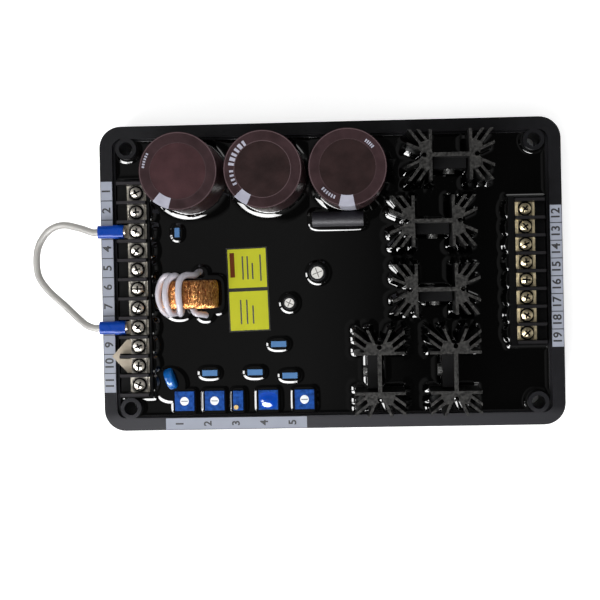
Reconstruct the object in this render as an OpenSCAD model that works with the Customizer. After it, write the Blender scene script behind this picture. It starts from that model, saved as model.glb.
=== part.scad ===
// Potted automatic voltage regulator in a moulded tray. Millimetres, +Z up from the mounting face.

/* [Tray] */
// Outer width of the tray
tray_w = 226; // [222:1:250]
// Outer depth of the tray
tray_d = 150; // [148:1:170]
// Height of the rim above the mounting face
tray_h = 25; // [24:0.5:30]
// Outer corner radius
corner_r = 10.5; // [6:0.5:14]
// Width of the flat rim
rim_w = 6.2; // [5:0.1:6.6]
// Width of the inner ledge
ledge_w = 1; // [0.5:0.1:1.2]
// Depth of the ledge below the rim
ledge_drop = 2.5; // [1.5:0.1:3.5]
// Floor thickness
floor_t = 2.5; // [1.5:0.1:4]
// Outer wall thickness of the cored rim
wall_t = 2.2; // [1.6:0.1:2.6]
// Width of the coring groove under the rim
core_w = 2.2; // [1:0.1:2.6]
// Thickness left above the coring groove
core_roof = 4; // [3:0.5:8]
// Thickness of the ribs across the coring groove
rib_t = 1.6; // [1:0.1:3]
// Distance from the tray's side to a mounting hole
hole_in_x = 13; // [12:0.5:14]
// Distance from the tray's end to a mounting hole
hole_in_y = 11; // [10:0.5:11.5]
// Mounting hole diameter
hole_d = 6.6; // [4.5:0.1:8]
// Diameter of the mounting bosses
boss_d = 10.4; // [9:0.1:10.6]

/* [Board and potting] */
// Depth of the compound's surface below the rim
resin_drop = 4.5; // [3:0.1:6]
// Board thickness
board_t = 1.6; // [0.8:0.1:2.4]
// Gap between the board edge and the tray wall
board_gap = 1; // [0.5:0.1:2]
// Depth of compound over the board
potting_depth = 7.5; // [6:0.1:8]
// Diameter of the board support posts
post_d = 7; // [4:0.5:9]

/* [Terminal strips] */
// Number of poles on the left strip
left_poles = 11;
// Share of the room between the bosses that the left strip takes
left_share = 0.9116; // [0.88:0.0002:0.93]
// Gap between the left strip and the lower boss
left_gap = 0.1; // [0.05:0.05:0.4]
// Depth of the left housing
left_depth = 16.2; // [15.8:0.1:17]
// Number of poles on the right strip
right_poles = 8;
// Pole pitch of the right strip
right_pitch = 8.6; // [8:0.05:9.2]
// Centre of the right strip along the depth
right_y = 0; // [-3:0.1:3]
// Depth of the right housing
right_depth = 18.3; // [17.5:0.1:19]
// Gap between the housings and the tray ledge
strip_gap = 0.8; // [0.3:0.1:1.5]
// Height of the contact seat above the board
seat_h = 12.6; // [12.4:0.1:14]
// Height of the barriers above the contact seat
barrier_h = 5.4; // [4:0.1:7]
// Barrier thickness
barrier_t = 1.4; // [1:0.1:1.6]
// Set-back of the barrier ends from the housing's outer face
barrier_set = 1.2; // [0.8:0.1:2]
// Depth of the wire entry below the contact seat
entry_drop = 2.6; // [1:0.1:4]
// Length of the wire entry
entry_l = 5.2; // [4:0.1:6]
// Thickness of each end wall beyond the last barrier
end_wall = 1.2; // [0.6:0.1:2]
// Length of the contact plates
contact_l = 9.4; // [8.6:0.1:9.8]
// Thickness of the contact plates
contact_t = 0.8; // [0.5:0.1:1.2]
// Side gap between contact plates and barriers
contact_gap = 0.3; // [0.1:0.05:0.6]
// Terminal screw head diameter
screw_head_d = 5.4; // [5:0.1:6]
// Terminal screw head height
screw_head_h = 1.9; // [1.7:0.1:3]
// Terminal screw shank diameter
screw_d = 3.5; // [2.5:0.1:4]
// Length of shank below the contact plate
screw_l = 6; // [3:0.5:7]
// Thickness of the captive clamp plate
clamp_t = 0.8; // [0.5:0.1:1.2]
// Width of the groove round a screw head in its clamp plate
groove_w = 0.85; // [0.4:0.05:1]
// Depth of that groove
groove_h = 0.4; // [0.2:0.05:0.4]
// Width of the screw drive slots
drive_w = 0.9; // [0.6:0.1:1.2]
// Depth of the screw drive slots
drive_h = 1.2; // [0.5:0.1:1.4]

/* [Reservoir capacitors] */
// Can diameter
cap_d = 35.4; // [33:0.1:35.6]
// Sleeve thickness
sleeve_t = 0.4; // [0.2:0.05:0.5]
// Height of the can above the board
cap_h = 45.4; // [30:0.1:55]
// Gap between the left strip and the first capacitor
cap_side_gap = 2; // [1.2:0.1:2.6]
// Gap between neighbouring sleeves
cap_gap = 3.1; // [2:0.1:4.2]
// Gap between sleeves and the tray wall
cap_wall_gap = 0.2; // [0.1:0.1:0.6]
// Share of the sleeve radius left open on top
sleeve_open = 0.715; // [0.5:0.005:0.9]
// Thickness of the top disc
top_disc_t = 0.3; // [0.1:0.05:0.4]

/* [Heatsinks] */
// Length over the fins
hs_l = 41; // [38:0.1:41.4]
// Depth over the fins
hs_d = 24; // [22:0.1:24.4]
// Height above the board
hs_h = 34.5; // [30:0.5:45]
// Gap between the inner faces
hs_channel = 17.4; // [16.4:0.1:18.5]
// Web thickness
web_t = 1.9; // [1.4:0.1:2.6]
// Face plate thickness
face_t = 1.4; // [1:0.1:2]
// Fin thickness
fin_t = 1.25; // [0.8:0.05:1.5]
// Distance from the inner face to the keyhole
hub_u = 3.7; // [3.4:0.1:4]
// Keyhole radius
key_r = 1.15; // [0.9:0.05:1.3]
// Keyhole slit width
key_slit = 1; // [0.6:0.1:1.4]
// Gap between the outer heatsinks and the tray wall
hs_wall_gap = 0.4; // [0.2:0.1:1]
// Least gap between the second heatsink and the capacitors
hs_cap_gap = 0.4; // [0.2:0.1:1]
// Share of the free room left of the upper heatsink
hs1_share = 0.375; // [0.2:0.005:0.6]
// Second heatsink along the width, as a share of the inner half width
hs2_share = 0.468; // [0.45:0.002:0.49]
// Third heatsink along the width, as a share of the inner half width
hs3_share = 0.476; // [0.45:0.002:0.5]
// Fourth heatsink along the width, as a share of the inner half width
hs4_share = 0.2164; // [0.2:0.002:0.23]
// Fifth heatsink along the width, as a share of the inner half width
hs5_share = 0.555; // [0.54:0.002:0.58]
// Share of the free room between the first and second heatsinks
hs_room_1 = 0.32; // [0.2:0.01:0.4]
// Share of the free room between the second and third heatsinks
hs_room_2 = 0.376; // [0.3:0.01:0.45]
// Power device width
device_w = 15.6; // [14:0.1:16]
// Power device thickness
device_t = 5; // [4:0.1:5.4]
// Power device height above the board
device_h = 25; // [20:0.5:28]
// Height of the device screw above the board
device_screw_h = 18; // [15:0.5:18.5]
// Device screw diameter
device_screw_d = 3; // [2:0.1:3.5]
// Device screw head diameter
device_head_d = 5.6; // [4:0.1:6.5]

/* [Wound ring] */
// Ring outer diameter over the winding
ring_od = 27.6; // [26:0.1:28]
// Ring inner diameter under the winding
ring_id = 14.4; // [14:0.1:15]
// Ring thickness over the winding
ring_t = 14; // [12:0.1:14.4]
// Edge radius of the wound ring
ring_edge = 2.4; // [1.5:0.1:2.8]
// Gap between the left strip and the primary turns
ring_side_gap = 2.6; // [1.5:0.1:3]
// Gap between the ring and the board
ring_lift = 0.5; // [0.2:0.1:1]
// Primary wire diameter
turn_d = 3.1; // [2.4:0.1:3.1]
// Gap between the ring and the primary turns
turn_gap = 0.3; // [0.2:0.05:0.5]
// Angle between neighbouring primary turns
turn_step = 39.5; // [37:0.5:42]

/* [Small parts] */
// Larger small capacitor diameter
can1_d = 8; // [6:0.1:9]
// Larger small capacitor height
can1_h = 15; // [12:0.5:18]
// Smaller small capacitor diameter
can2_d = 6.3; // [5:0.1:7]
// Smaller small capacitor height
can2_h = 11.6; // [10:0.1:14]
// Film capacitor length
film_l = 7.4; // [6:0.1:8]
// Film capacitor thickness
film_t = 2.8; // [2:0.1:3.4]
// Film capacitor height above the board
film_h = 9.8; // [9:0.1:11]
// Length of the narrow film capacitor
film5_l = 4.6; // [4:0.1:5.5]
// Thickness of the narrow film capacitor
film5_t = 2.4; // [2:0.1:3]
// Varistor disc diameter
varistor_d = 10.6; // [9:0.1:11]
// Varistor thickness
varistor_t = 4.2; // [3:0.1:4.6]
// Height of the varistor centre above the board
varistor_lift = 9.6; // [8:0.1:10]
// Varistor turn about the vertical
varistor_turn = 19; // [14:1:24]
// Diameter of the component leads
lead_d = 0.8; // [0.5:0.1:1]
// Power resistor diameter
resistor_d = 7.4; // [6:0.1:7.6]
// Power resistor length
resistor_l = 25; // [22:0.1:26]
// Height of the resistor centre above the board
resistor_lift = 9; // [8.6:0.1:10]
// Gap between the resistor and the capacitors
resistor_gap = 0.3; // [0.2:0.1:1]
// Gap between the resistor and the second heatsink
resistor_side_gap = 12.6; // [8:0.1:14]
// Gap between the wound ring and the label
label_gap = 3.2; // [2:0.1:4]
// Gap between the label and the smaller small capacitor
can_gap = 7.15; // [5:0.05:9]
// Distance between the two small capacitors along the width
can_step = 14.2; // [11:0.1:16]
// Gap between the trimmers and the row of film capacitors
film_gap = 8.9; // [7:0.1:10]
// Gap between the trimmers and the last film capacitor
film_last_gap = 7; // [6:0.1:9]
// Gap between the first trimmer and the varistor
varistor_gap = 1.1; // [0.9:0.1:2]

/* [Trimmers] */
// Side of the square trimmers
trim_w = 9.5; // [9:0.1:9.8]
// Trimmer height above the board
trim_h = 10.5; // [9.5:0.1:11.5]
// Trimmer rotor diameter
rotor_d = 4.2; // [3:0.1:5]
// Length of the rotor
rotor_l = 2.8; // [2:0.1:3.5]
// Radial running clearance of the rotors
rotor_clear = 0.05; // [0.02:0.01:0.1]
// Gap below the rotors
rotor_float = 0.3; // [0.25:0.05:0.5]
// Height the rotor stands above its body
rotor_proud = 0.15; // [0.1:0.05:0.5]
// Width of the rotor slot
slot_w = 0.6; // [0.4:0.05:0.9]
// Depth of the rotor slot
slot_h = 0.6; // [0.4:0.05:1.2]
// Gap between trimmers and the tray wall
trim_wall_gap = 2; // [1:0.1:2.5]
// Thickness of the lacquer seal on the third trimmer
seal_t = 0.5; // [0.2:0.05:0.8]
// Width of the many-turn trimmer
multi_w = 4.9; // [4.4:0.1:5.4]
// Height of the many-turn trimmer above the board
multi_h = 11.4; // [10:0.1:12.5]
// Diameter of the adjusting screw
adjust_d = 2.3; // [1.8:0.1:2.6]
// Height the adjusting screw stands above its body
adjust_proud = 0.5; // [0.2:0.1:1]

/* [Marker strips and label] */
// Thickness of the marker strips
strip_t = 0.25; // [0.15:0.05:0.4]
// Width of the marker strips
strip_w = 5.6; // [4:0.1:5.8]
// Length of the left marker strip
left_strip_l = 104; // [100:0.5:106]
// Length of the right marker strip
right_strip_l = 69; // [64:0.5:72]
// Length of the trimmer marker strip
trim_strip_l = 69.5; // [64:0.5:74]
// Width of the label on the compound
label_w = 20.4; // [18:0.1:20.8]
// Length of the label on the compound
label_l = 41.6; // [38:0.1:42]
// Thickness of the label
label_t = 0.4; // [0.2:0.05:0.6]
// Turn of the label about the vertical
label_turn = 1.5; // [0:0.1:2]

/* [Link and jumper] */
// Thickness of the link and the fork tongues
tongue_t = 0.8; // [0.5:0.1:1]
// Width of one link tongue
link_tongue_w = 6.8; // [6:0.1:7]
// Length of the link's pointed tail
link_tail = 4; // [3:0.1:5]
// Fork tongue width
fork_w = 6.2; // [5.4:0.1:6.4]
// Gap between a screw shank and a fork slot
fork_gap = 0.2; // [0.1:0.05:0.3]
// Wire diameter over the insulation
wire_d = 3.4; // [2.8:0.1:3.6]
// Sleeve width
sleeve_w = 6.8; // [6:0.1:7.2]
// Sleeve height
sleeve_h = 4.4; // [4.2:0.1:4.6]
// Sleeve length
sleeve_l = 12.6; // [12:0.1:13]
// Distance from the tray's side to the sleeve's inner end
sleeve_inset = 12; // [11:0.1:12.5]
// Length of the fork barrel
barrel_l = 5; // [4:0.1:6]
// Reach of the wire loop beyond the sleeves
wire_reach = 33.5; // [30:0.5:36]
// Sag of the wire loop
wire_sag = 9; // [6:0.5:12]

/* [Hidden] */
$fn = 48;

// Tray levels and inner sizes
inner_x = tray_w / 2 - rim_w - ledge_w;
inner_y = tray_d / 2 - rim_w - ledge_w;
inner_r = max(corner_r - rim_w - ledge_w, 1);
resin_z = tray_h - resin_drop;
top_z = resin_z - potting_depth;
board_z = top_z - board_t;
board_lift = board_z - floor_t;
hole_x = tray_w / 2 - hole_in_x;
hole_y = tray_d / 2 - hole_in_y;
holes = [for (sx = [-1, 1], sy = [-1, 1]) [sx * hole_x, sy * hole_y]];
boss_room = 2 * hole_y - boss_d;
posts = [for (px = [-0.8, 0, 0.82], py = [-0.45, 0.4]) [px * inner_x, py * inner_y]];

// Terminal strip levels
seat_z = top_z + seat_h;
contact_z = seat_z + contact_t;
barrier_top = seat_z + barrier_h;
left_face = inner_x - strip_gap;
right_face = inner_x - strip_gap;
left_len = left_share * boss_room;
left_pitch = (left_len - barrier_t - 2 * end_wall) / left_poles;
left_y = (left_len - boss_room) / 2 + left_gap;
left_in = left_depth - left_face;
right_len = right_poles * right_pitch + barrier_t + 2 * end_wall;
contact_in = entry_l + 0.3;
screw_in = contact_in + contact_l / 2;
link_pole = 8;
fork_poles = [2, 7];
bore_gap = 0.15;

// Part positions
cap_r = cap_d / 2 + sleeve_t;
cap_y = inner_y - cap_wall_gap - cap_r;
cap_pitch = 2 * cap_r + cap_gap;
cap_x = left_in + cap_side_gap + cap_r;
cap_end = cap_x + 2 * cap_pitch + cap_r;
can_top = top_z + cap_h;
hs_half_l = (hs_l - hs_channel) / 2;
hs1_room = hole_x - boss_d / 2 - cap_end - hs_l;
hs_spare = 2 * (inner_y - hs_wall_gap) - 3 * hs_d - hs_l;
hs1_y = inner_y - hs_wall_gap - hs_d / 2;
hs2_x = hs2_share * inner_x;
hs2_even = hs1_y - hs_d - hs_room_1 * hs_spare;
// In a narrow tray the second heatsink moves down, clear of the capacitors
hs2_beside = hs2_x - hs_l / 2 > cap_end + hs_cap_gap;
hs2_y = hs2_beside ? hs2_even : min(hs2_even, cap_y - cap_r - hs_cap_gap - hs_d / 2);
hs3_y = hs2_y - hs_d - hs_room_2 * hs_spare;
hs4_y = -inner_y + hs_wall_gap + hs_l / 2;
hs_places = [[cap_end + hs1_share * hs1_room + hs_l / 2, hs1_y, 0], [hs2_x, hs2_y, 0],
  [hs3_share * inner_x, hs3_y, 0], [hs4_share * inner_x, hs4_y, -90], [hs5_share * inner_x, hs4_y, -90]];
// Fins from the solid fan outwards: start and end as shares of the half length and the half depth
fin_lines = [[[0.16, 0.48], [0.57, 1.03]], [[0.42, 0.4], [0.93, 1.03]], [[0.34, 0.16], [1.02, 0.46]]];
fan_edge = [[0.08, 0.6], [0.24, 0.57], [0.53, 0.45], [0.5, 0.28], [0.42, 0.1]];
ring_z = top_z + ring_lift + ring_od / 2;
ring_x = left_in + ring_side_gap + turn_d + turn_gap + ring_od / 2;
ring_y = -0.121 * inner_y;
trim_y = -inner_y + trim_wall_gap + trim_w / 2;
trim_top = trim_y + trim_w / 2;
trim_x = [for (share = [-0.696, -0.555, -0.304, -0.135]) share * inner_x];
multi_x = -0.444 * inner_x;
adjust_at = [multi_x - multi_w * 0.2, trim_y - trim_w * 0.34];
label_x = ring_x + ring_od / 2 + label_gap + label_w / 2 + label_l / 2 * sin(label_turn);
can2_x = label_x + label_w / 2 + can_gap + can2_d / 2;
can_places = [[can2_x + can_step, 0.016 * inner_y], [can2_x, -0.199 * inner_y]];
film_y = trim_top + film_gap;
film_places = [[-0.251 * inner_x, -0.497 * inner_y], [-0.576 * inner_x, film_y], [-0.364 * inner_x, film_y],
  [-0.201 * inner_x, trim_top + film_last_gap], [-0.716 * inner_x, 0.329 * inner_y]];
varistor_place = [-0.76 * inner_x, trim_top + varistor_gap + varistor_d / 2];
resistor_place = [hs2_x - hs_l / 2 - resistor_side_gap - resistor_l / 2,
  cap_y - cap_r - resistor_d / 2 - resistor_gap];
label_place = [label_x, -0.096 * inner_y];
trim_strip_x = -0.453 * inner_x;
right_strip_y = -0.04 * inner_y;
left_strip_y = -0.059 * inner_y;
strip_off = (rim_w - strip_w) / 2;

// Jumper levels: the sleeve rests just over the rim
sleeve_z = contact_z + tongue_t + sleeve_h / 2 - 1.1;
sleeve_in = tray_w / 2 - sleeve_inset;
barrel_r = 1.9;
barrel_end = 1 - sleeve_in - barrel_l;
wire_gap = 0.05;
wire_ring = 8;

// Rounded rectangle centred on the origin
module rounded(w, d, r) {
  square([w - 2 * r, d], center = true);
  square([w, d - 2 * r], center = true);
  for (sx = [-1, 1], sy = [-1, 1])
    translate([sx * (w / 2 - r), sy * (d / 2 - r)])
      circle(r);
}

// Moulded tray with cored rim, corner bosses and board posts
module tray() {
  color([0.07, 0.07, 0.075])
  difference() {
    union() {
      difference() {
        linear_extrude(tray_h)
          rounded(tray_w, tray_d, corner_r);
        translate([0, 0, floor_t])
          linear_extrude(tray_h)
            rounded(2 * inner_x, 2 * inner_y, inner_r);
        translate([0, 0, tray_h - ledge_drop])
          linear_extrude(tray_h)
            rounded(2 * (inner_x + ledge_w), 2 * (inner_y + ledge_w), inner_r + ledge_w);
        translate([0, 0, -1])
          linear_extrude(tray_h - core_roof + 1)
            core_groove();
      }
      for (p = holes)
        translate([p[0], p[1], 0])
          cylinder(h = tray_h, d = boss_d);
      for (p = posts)
        translate([p[0], p[1], 0])
          cylinder(h = board_z, d = post_d);
      core_ribs();
    }
    for (p = holes)
      translate([p[0], p[1], -1])
        cylinder(h = tray_h + 2, d = hole_d);
  }
}

// Plan of the coring groove
module core_groove() {
  difference() {
    rounded(tray_w - 2 * wall_t, tray_d - 2 * wall_t, corner_r - wall_t);
    rounded(tray_w - 2 * (wall_t + core_w), tray_d - 2 * (wall_t + core_w), corner_r - wall_t - core_w);
  }
}

// Ribs that tie the two walls of the cored rim
module core_ribs() {
  rib_l = core_w + 1;
  rib_h = tray_h - core_roof + 0.5;
  for (i = [-3 : 3], s = [-1, 1])
    translate([i * tray_w / 8 - rib_t / 2, s * (tray_d / 2 - wall_t - core_w / 2) - rib_l / 2, 0])
      cube([rib_t, rib_l, rib_h]);
  for (i = [-2 : 2], s = [-1, 1])
    translate([s * (tray_w / 2 - wall_t - core_w / 2) - rib_l / 2, i * tray_d / 6 - rib_t / 2, 0])
      cube([rib_l, rib_t, rib_h]);
}

// Plan of the board, notched round the bosses
module board_plan() {
  difference() {
    rounded(2 * (inner_x - board_gap), 2 * (inner_y - board_gap), inner_r);
    for (p = holes)
      translate(p)
        circle(boss_d / 2 + board_gap);
  }
}

module circuit_board() {
  color([0.1, 0.3, 0.16])
  translate([0, 0, board_z])
    linear_extrude(board_t)
      board_plan();
}

// Plan of the compound, clear of the bosses
module fill_plan() {
  difference() {
    rounded(2 * inner_x, 2 * inner_y, inner_r);
    for (p = holes)
      translate(p)
        circle(d = boss_d);
  }
}

// Plan of every part that stands straight up through the compound
module standing_plan() {
  for (i = [0 : 2])
    translate([cap_x + i * cap_pitch, cap_y])
      circle(cap_r);
  for (p = hs_places)
    translate([p[0], p[1]])
      rotate(p[2]) {
        hs_profile();
        device_plan();
      }
  translate([-left_face, left_y - left_len / 2])
    square([left_depth, left_len]);
  translate([right_face - right_depth, right_y - right_len / 2])
    square([right_depth, right_len]);
  translate(can_places[0])
    circle(d = can1_d);
  translate(can_places[1])
    circle(d = can2_d);
  for (i = [0 : 3])
    translate(film_places[i])
      square([film_l, film_t], center = true);
  translate(film_places[4])
    square([film5_t, film5_l], center = true);
  for (x = trim_x)
    translate([x, trim_y])
      square(trim_w, center = true);
  translate([multi_x, trim_y])
    square([multi_w, trim_w], center = true);
}

// Compound round the board and the parts
module potting_compound() {
  color([0.05, 0.05, 0.05])
  difference() {
    union() {
      translate([0, 0, floor_t])
        linear_extrude(board_lift)
          difference() {
            fill_plan();
            for (p = posts)
              translate(p)
                circle(d = post_d);
          }
      translate([0, 0, board_z])
        linear_extrude(board_t)
          difference() {
            fill_plan();
            board_plan();
          }
      translate([0, 0, top_z])
        linear_extrude(potting_depth)
          difference() {
            fill_plan();
            standing_plan();
          }
    }
    ring_solid();
    turn_tails();
    varistor_solid();
    resistor_solid();
  }
}

// Housing in its own frame: u runs inwards from the outer face, v along the poles
module strip_housing(poles, pitch, depth, len) {
  difference() {
    union() {
      translate([0, -len / 2, top_z])
        cube([depth, len, seat_h]);
      for (i = [0 : poles])
        translate([barrier_set, (i - poles / 2) * pitch - barrier_t / 2, seat_z - 1])
          cube([contact_in + contact_l + 0.3 - barrier_set, barrier_t, barrier_h + 1]);
      translate([contact_in + contact_l + 0.3, -len / 2, seat_z - 1])
        cube([depth - contact_in - contact_l - 0.3, len, 1 + contact_t]);
    }
    for (i = [0 : poles - 1]) {
      pole_v = (i + 0.5 - poles / 2) * pitch;
      translate([-1, pole_v - (pitch - barrier_t) / 2, seat_z - entry_drop])
        cube([1 + entry_l, pitch - barrier_t, entry_drop + 1]);
      translate([screw_in, pole_v, seat_z - screw_l - 0.5])
        cylinder(h = screw_l + 1, d = screw_d + 2 * bore_gap);
    }
  }
}

// Contact plates of one strip, drilled for the screws
module strip_contacts(poles, pitch) {
  plate_w = pitch - barrier_t - 2 * contact_gap;
  for (i = [0 : poles - 1])
    translate([contact_in, (i + 0.5 - poles / 2) * pitch, seat_z])
      difference() {
        translate([0, -plate_w / 2, 0])
          cube([contact_l, plate_w, contact_t]);
        translate([contact_l / 2, 0, -1])
          cylinder(h = contact_t + 2, d = screw_d + 2 * bore_gap);
      }
}

// One terminal screw with its captive clamp plate, from the contact plate up
module terminal_screw(plate_w, lift, turn) {
  head_z = contact_z + lift + clamp_t;
  dome_r = screw_head_d * 0.8;
  difference() {
    union() {
      translate([-plate_w / 2, -plate_w / 2, contact_z + lift])
        cube([plate_w, plate_w, clamp_t]);
      translate([0, 0, seat_z - screw_l + lift])
        cylinder(h = screw_l + contact_t, d = screw_d);
      translate([0, 0, head_z - 0.1])
        intersection() {
          cylinder(h = screw_head_h + 0.1, d = screw_head_d);
          translate([0, 0, screw_head_h + 0.1 - dome_r])
            sphere(r = dome_r);
        }
    }
    translate([0, 0, head_z - groove_h])
      difference() {
        cylinder(h = groove_h + 0.5, d = screw_head_d + 2 * groove_w);
        translate([0, 0, -1])
          cylinder(h = groove_h + 2, d = screw_head_d);
      }
    rotate(turn) {
      translate([-screw_head_d, -drive_w / 2, head_z + screw_head_h - drive_h])
        cube([2 * screw_head_d, drive_w, drive_h + 1]);
      translate([-drive_w / 2, -screw_head_d * 0.3, head_z + screw_head_h - drive_h])
        cube([drive_w, screw_head_d * 0.6, drive_h + 1]);
    }
  }
}

// Poles of the left strip that hold a tongue stand higher
function left_lift(i) =
  (i == link_pole || i == link_pole + 1 || i == fork_poles[0] || i == fork_poles[1]) ? tongue_t : 0;

// Pole position along the depth, counted from the top of the left strip
function left_pole_y(i) = left_y + ((left_poles - 1) / 2 - i) * left_pitch;

module input_terminal_housing() {
  color([0.06, 0.06, 0.065])
  translate([-left_face, left_y, 0])
    strip_housing(left_poles, left_pitch, left_depth, left_len);
}

module input_terminal_contacts() {
  color([0.72, 0.68, 0.58])
  translate([-left_face, left_y, 0])
    strip_contacts(left_poles, left_pitch);
}

module input_terminal_screws() {
  plate_w = left_pitch - barrier_t - 2 * contact_gap;
  color([0.72, 0.7, 0.64])
  for (i = [0 : left_poles - 1])
    translate([-left_face + screw_in, left_pole_y(i), 0])
      terminal_screw(plate_w, left_lift(i), 25 + i * 67);
}

module field_terminal_housing() {
  color([0.06, 0.06, 0.065])
  translate([right_face, right_y, 0])
    mirror([1, 0, 0])
      strip_housing(right_poles, right_pitch, right_depth, right_len);
}

module field_terminal_contacts() {
  color([0.75, 0.66, 0.42])
  translate([right_face, right_y, 0])
    mirror([1, 0, 0])
      strip_contacts(right_poles, right_pitch);
}

module field_terminal_screws() {
  plate_w = right_pitch - barrier_t - 2 * contact_gap;
  color([0.74, 0.68, 0.5])
  for (i = [0 : right_poles - 1])
    translate([right_face - screw_in, right_y + ((right_poles - 1) / 2 - i) * right_pitch, 0])
      terminal_screw(plate_w, 0, 50 + i * 76);
}

// Moves a part to the place of one reservoir capacitor
module at_cap(i) {
  translate([cap_x + i * cap_pitch, cap_y, 0])
    children();
}

module can_solid() {
  color([0.7, 0.7, 0.72])
  translate([0, 0, top_z])
    cylinder(h = cap_h, d = cap_d, $fn = 96);
}

// Sleeve wall with the lip that folds over the can's edge
module sleeve_solid() {
  color([0.26, 0.17, 0.18])
  translate([0, 0, top_z])
    difference() {
      cylinder(h = cap_h + sleeve_t, r = cap_r, $fn = 96);
      translate([0, 0, -1])
        cylinder(h = cap_h + 1, d = cap_d, $fn = 96);
      translate([0, 0, cap_h - 1])
        cylinder(h = 3, r = cap_r * sleeve_open, $fn = 96);
    }
}

module top_disc_solid() {
  color([0.19, 0.15, 0.14])
  translate([0, 0, can_top])
    cylinder(h = top_disc_t, r = cap_r * sleeve_open, $fn = 96);
}

module reservoir_capacitor_1() {
  at_cap(0)
    can_solid();
}

module reservoir_capacitor_2() {
  at_cap(1)
    can_solid();
}

module reservoir_capacitor_3() {
  at_cap(2)
    can_solid();
}

module capacitor_sleeve_1() {
  at_cap(0)
    sleeve_solid();
}

module capacitor_sleeve_2() {
  at_cap(1)
    sleeve_solid();
}

module capacitor_sleeve_3() {
  at_cap(2)
    sleeve_solid();
}

module capacitor_top_disc_1() {
  at_cap(0)
    top_disc_solid();
}

module capacitor_top_disc_2() {
  at_cap(1)
    top_disc_solid();
}

module capacitor_top_disc_3() {
  at_cap(2)
    top_disc_solid();
}

// Straight bar of one width from one point to another
module bar_between(from, to, width) {
  run = to - from;
  translate(from)
    rotate(atan2(run[1], run[0]))
      translate([0, -width / 2])
        square([norm(run), width]);
}

// Half of the extrusion: face plate, solid fan with keyhole, and fins on its edge
module hs_half() {
  reach = [hs_half_l, hs_d / 2];
  low = [for (p = fan_edge) [p[0] * reach[0], -p[1] * reach[1]]];
  high = [for (i = [len(low) - 1 : -1 : 0]) [low[i][0], -low[i][1]]];
  translate([hs_channel / 2, 0])
    intersection() {
      translate([0, -hs_d / 2])
        square([hs_half_l, hs_d]);
      difference() {
        union() {
          translate([0, -hs_d / 2])
            square([face_t, hs_d]);
          polygon(concat(low, high));
          for (f = fin_lines, s = [-1, 1])
            bar_between([f[0][0] * reach[0], s * f[0][1] * reach[1]], [f[1][0] * reach[0], s * f[1][1] * reach[1]],
              fin_t);
        }
        translate([hub_u, 0])
          circle(key_r);
        translate([hub_u, -key_slit / 2])
          square([hs_l, key_slit]);
      }
    }
}

// Plan of the extrusion: two finned halves on one web
module hs_profile() {
  hs_half();
  mirror([1, 0])
    hs_half();
  square([hs_channel + 0.2, web_t], center = true);
}

// Plan of the power device against the web
module device_plan() {
  translate([-device_w / 2, -web_t / 2 - device_t])
    square([device_w, device_t]);
}

// Moves a part to the place of one heatsink
module at_hs(i) {
  translate([hs_places[i][0], hs_places[i][1], 0])
    rotate(hs_places[i][2])
      children();
}

// Extrusion drilled for the device screw
module hs_solid() {
  color([0.05, 0.05, 0.05])
  difference() {
    translate([0, 0, top_z])
      linear_extrude(hs_h)
        hs_profile();
    translate([0, web_t, top_z + device_screw_h])
      rotate([90, 0, 0])
        cylinder(h = 3 * web_t, d = device_screw_d);
  }
}

// Flat power device with its screw hole
module device_solid() {
  color([0.09, 0.09, 0.09])
  difference() {
    translate([0, 0, top_z])
      linear_extrude(device_h)
        device_plan();
    translate([0, 0, top_z + device_screw_h])
      rotate([90, 0, 0])
        cylinder(h = 3 * device_t, d = device_screw_d);
  }
}

module heatsink_1() {
  at_hs(0)
    hs_solid();
}

module heatsink_2() {
  at_hs(1)
    hs_solid();
}

module heatsink_3() {
  at_hs(2)
    hs_solid();
}

module heatsink_4() {
  at_hs(3)
    hs_solid();
}

module heatsink_5() {
  at_hs(4)
    hs_solid();
}

module power_device_1() {
  at_hs(0)
    device_solid();
}

module power_device_2() {
  at_hs(1)
    device_solid();
}

module power_device_3() {
  at_hs(2)
    device_solid();
}

module power_device_4() {
  at_hs(3)
    device_solid();
}

module power_device_5() {
  at_hs(4)
    device_solid();
}

// Screws that hold the devices to the webs
module device_screws() {
  color([0.7, 0.7, 0.7])
  for (i = [0 : 4])
    at_hs(i)
      translate([0, -web_t / 2 - device_t, top_z + device_screw_h])
        rotate([90, 0, 0])
          difference() {
            union() {
              translate([0, 0, -device_t - web_t])
                cylinder(h = device_t + web_t + 0.1, d = device_screw_d);
              cylinder(h = 1.9, d = device_head_d);
            }
            translate([-device_head_d, -0.4, 1])
              cube([2 * device_head_d, 0.8, 2]);
          }
}

// Section of the wound ring in its own frame
module ring_section() {
  wide = (ring_od - ring_id) / 2;
  translate([(ring_od + ring_id) / 4, 0])
    rounded(wide, ring_t, ring_edge);
}

module ring_solid() {
  translate([ring_x, ring_y, ring_z])
    rotate([90, 0, 0])
      rotate_extrude($fn = 96)
        ring_section();
}

module current_transformer_ring() {
  color([0.62, 0.36, 0.18])
    ring_solid();
}

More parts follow.
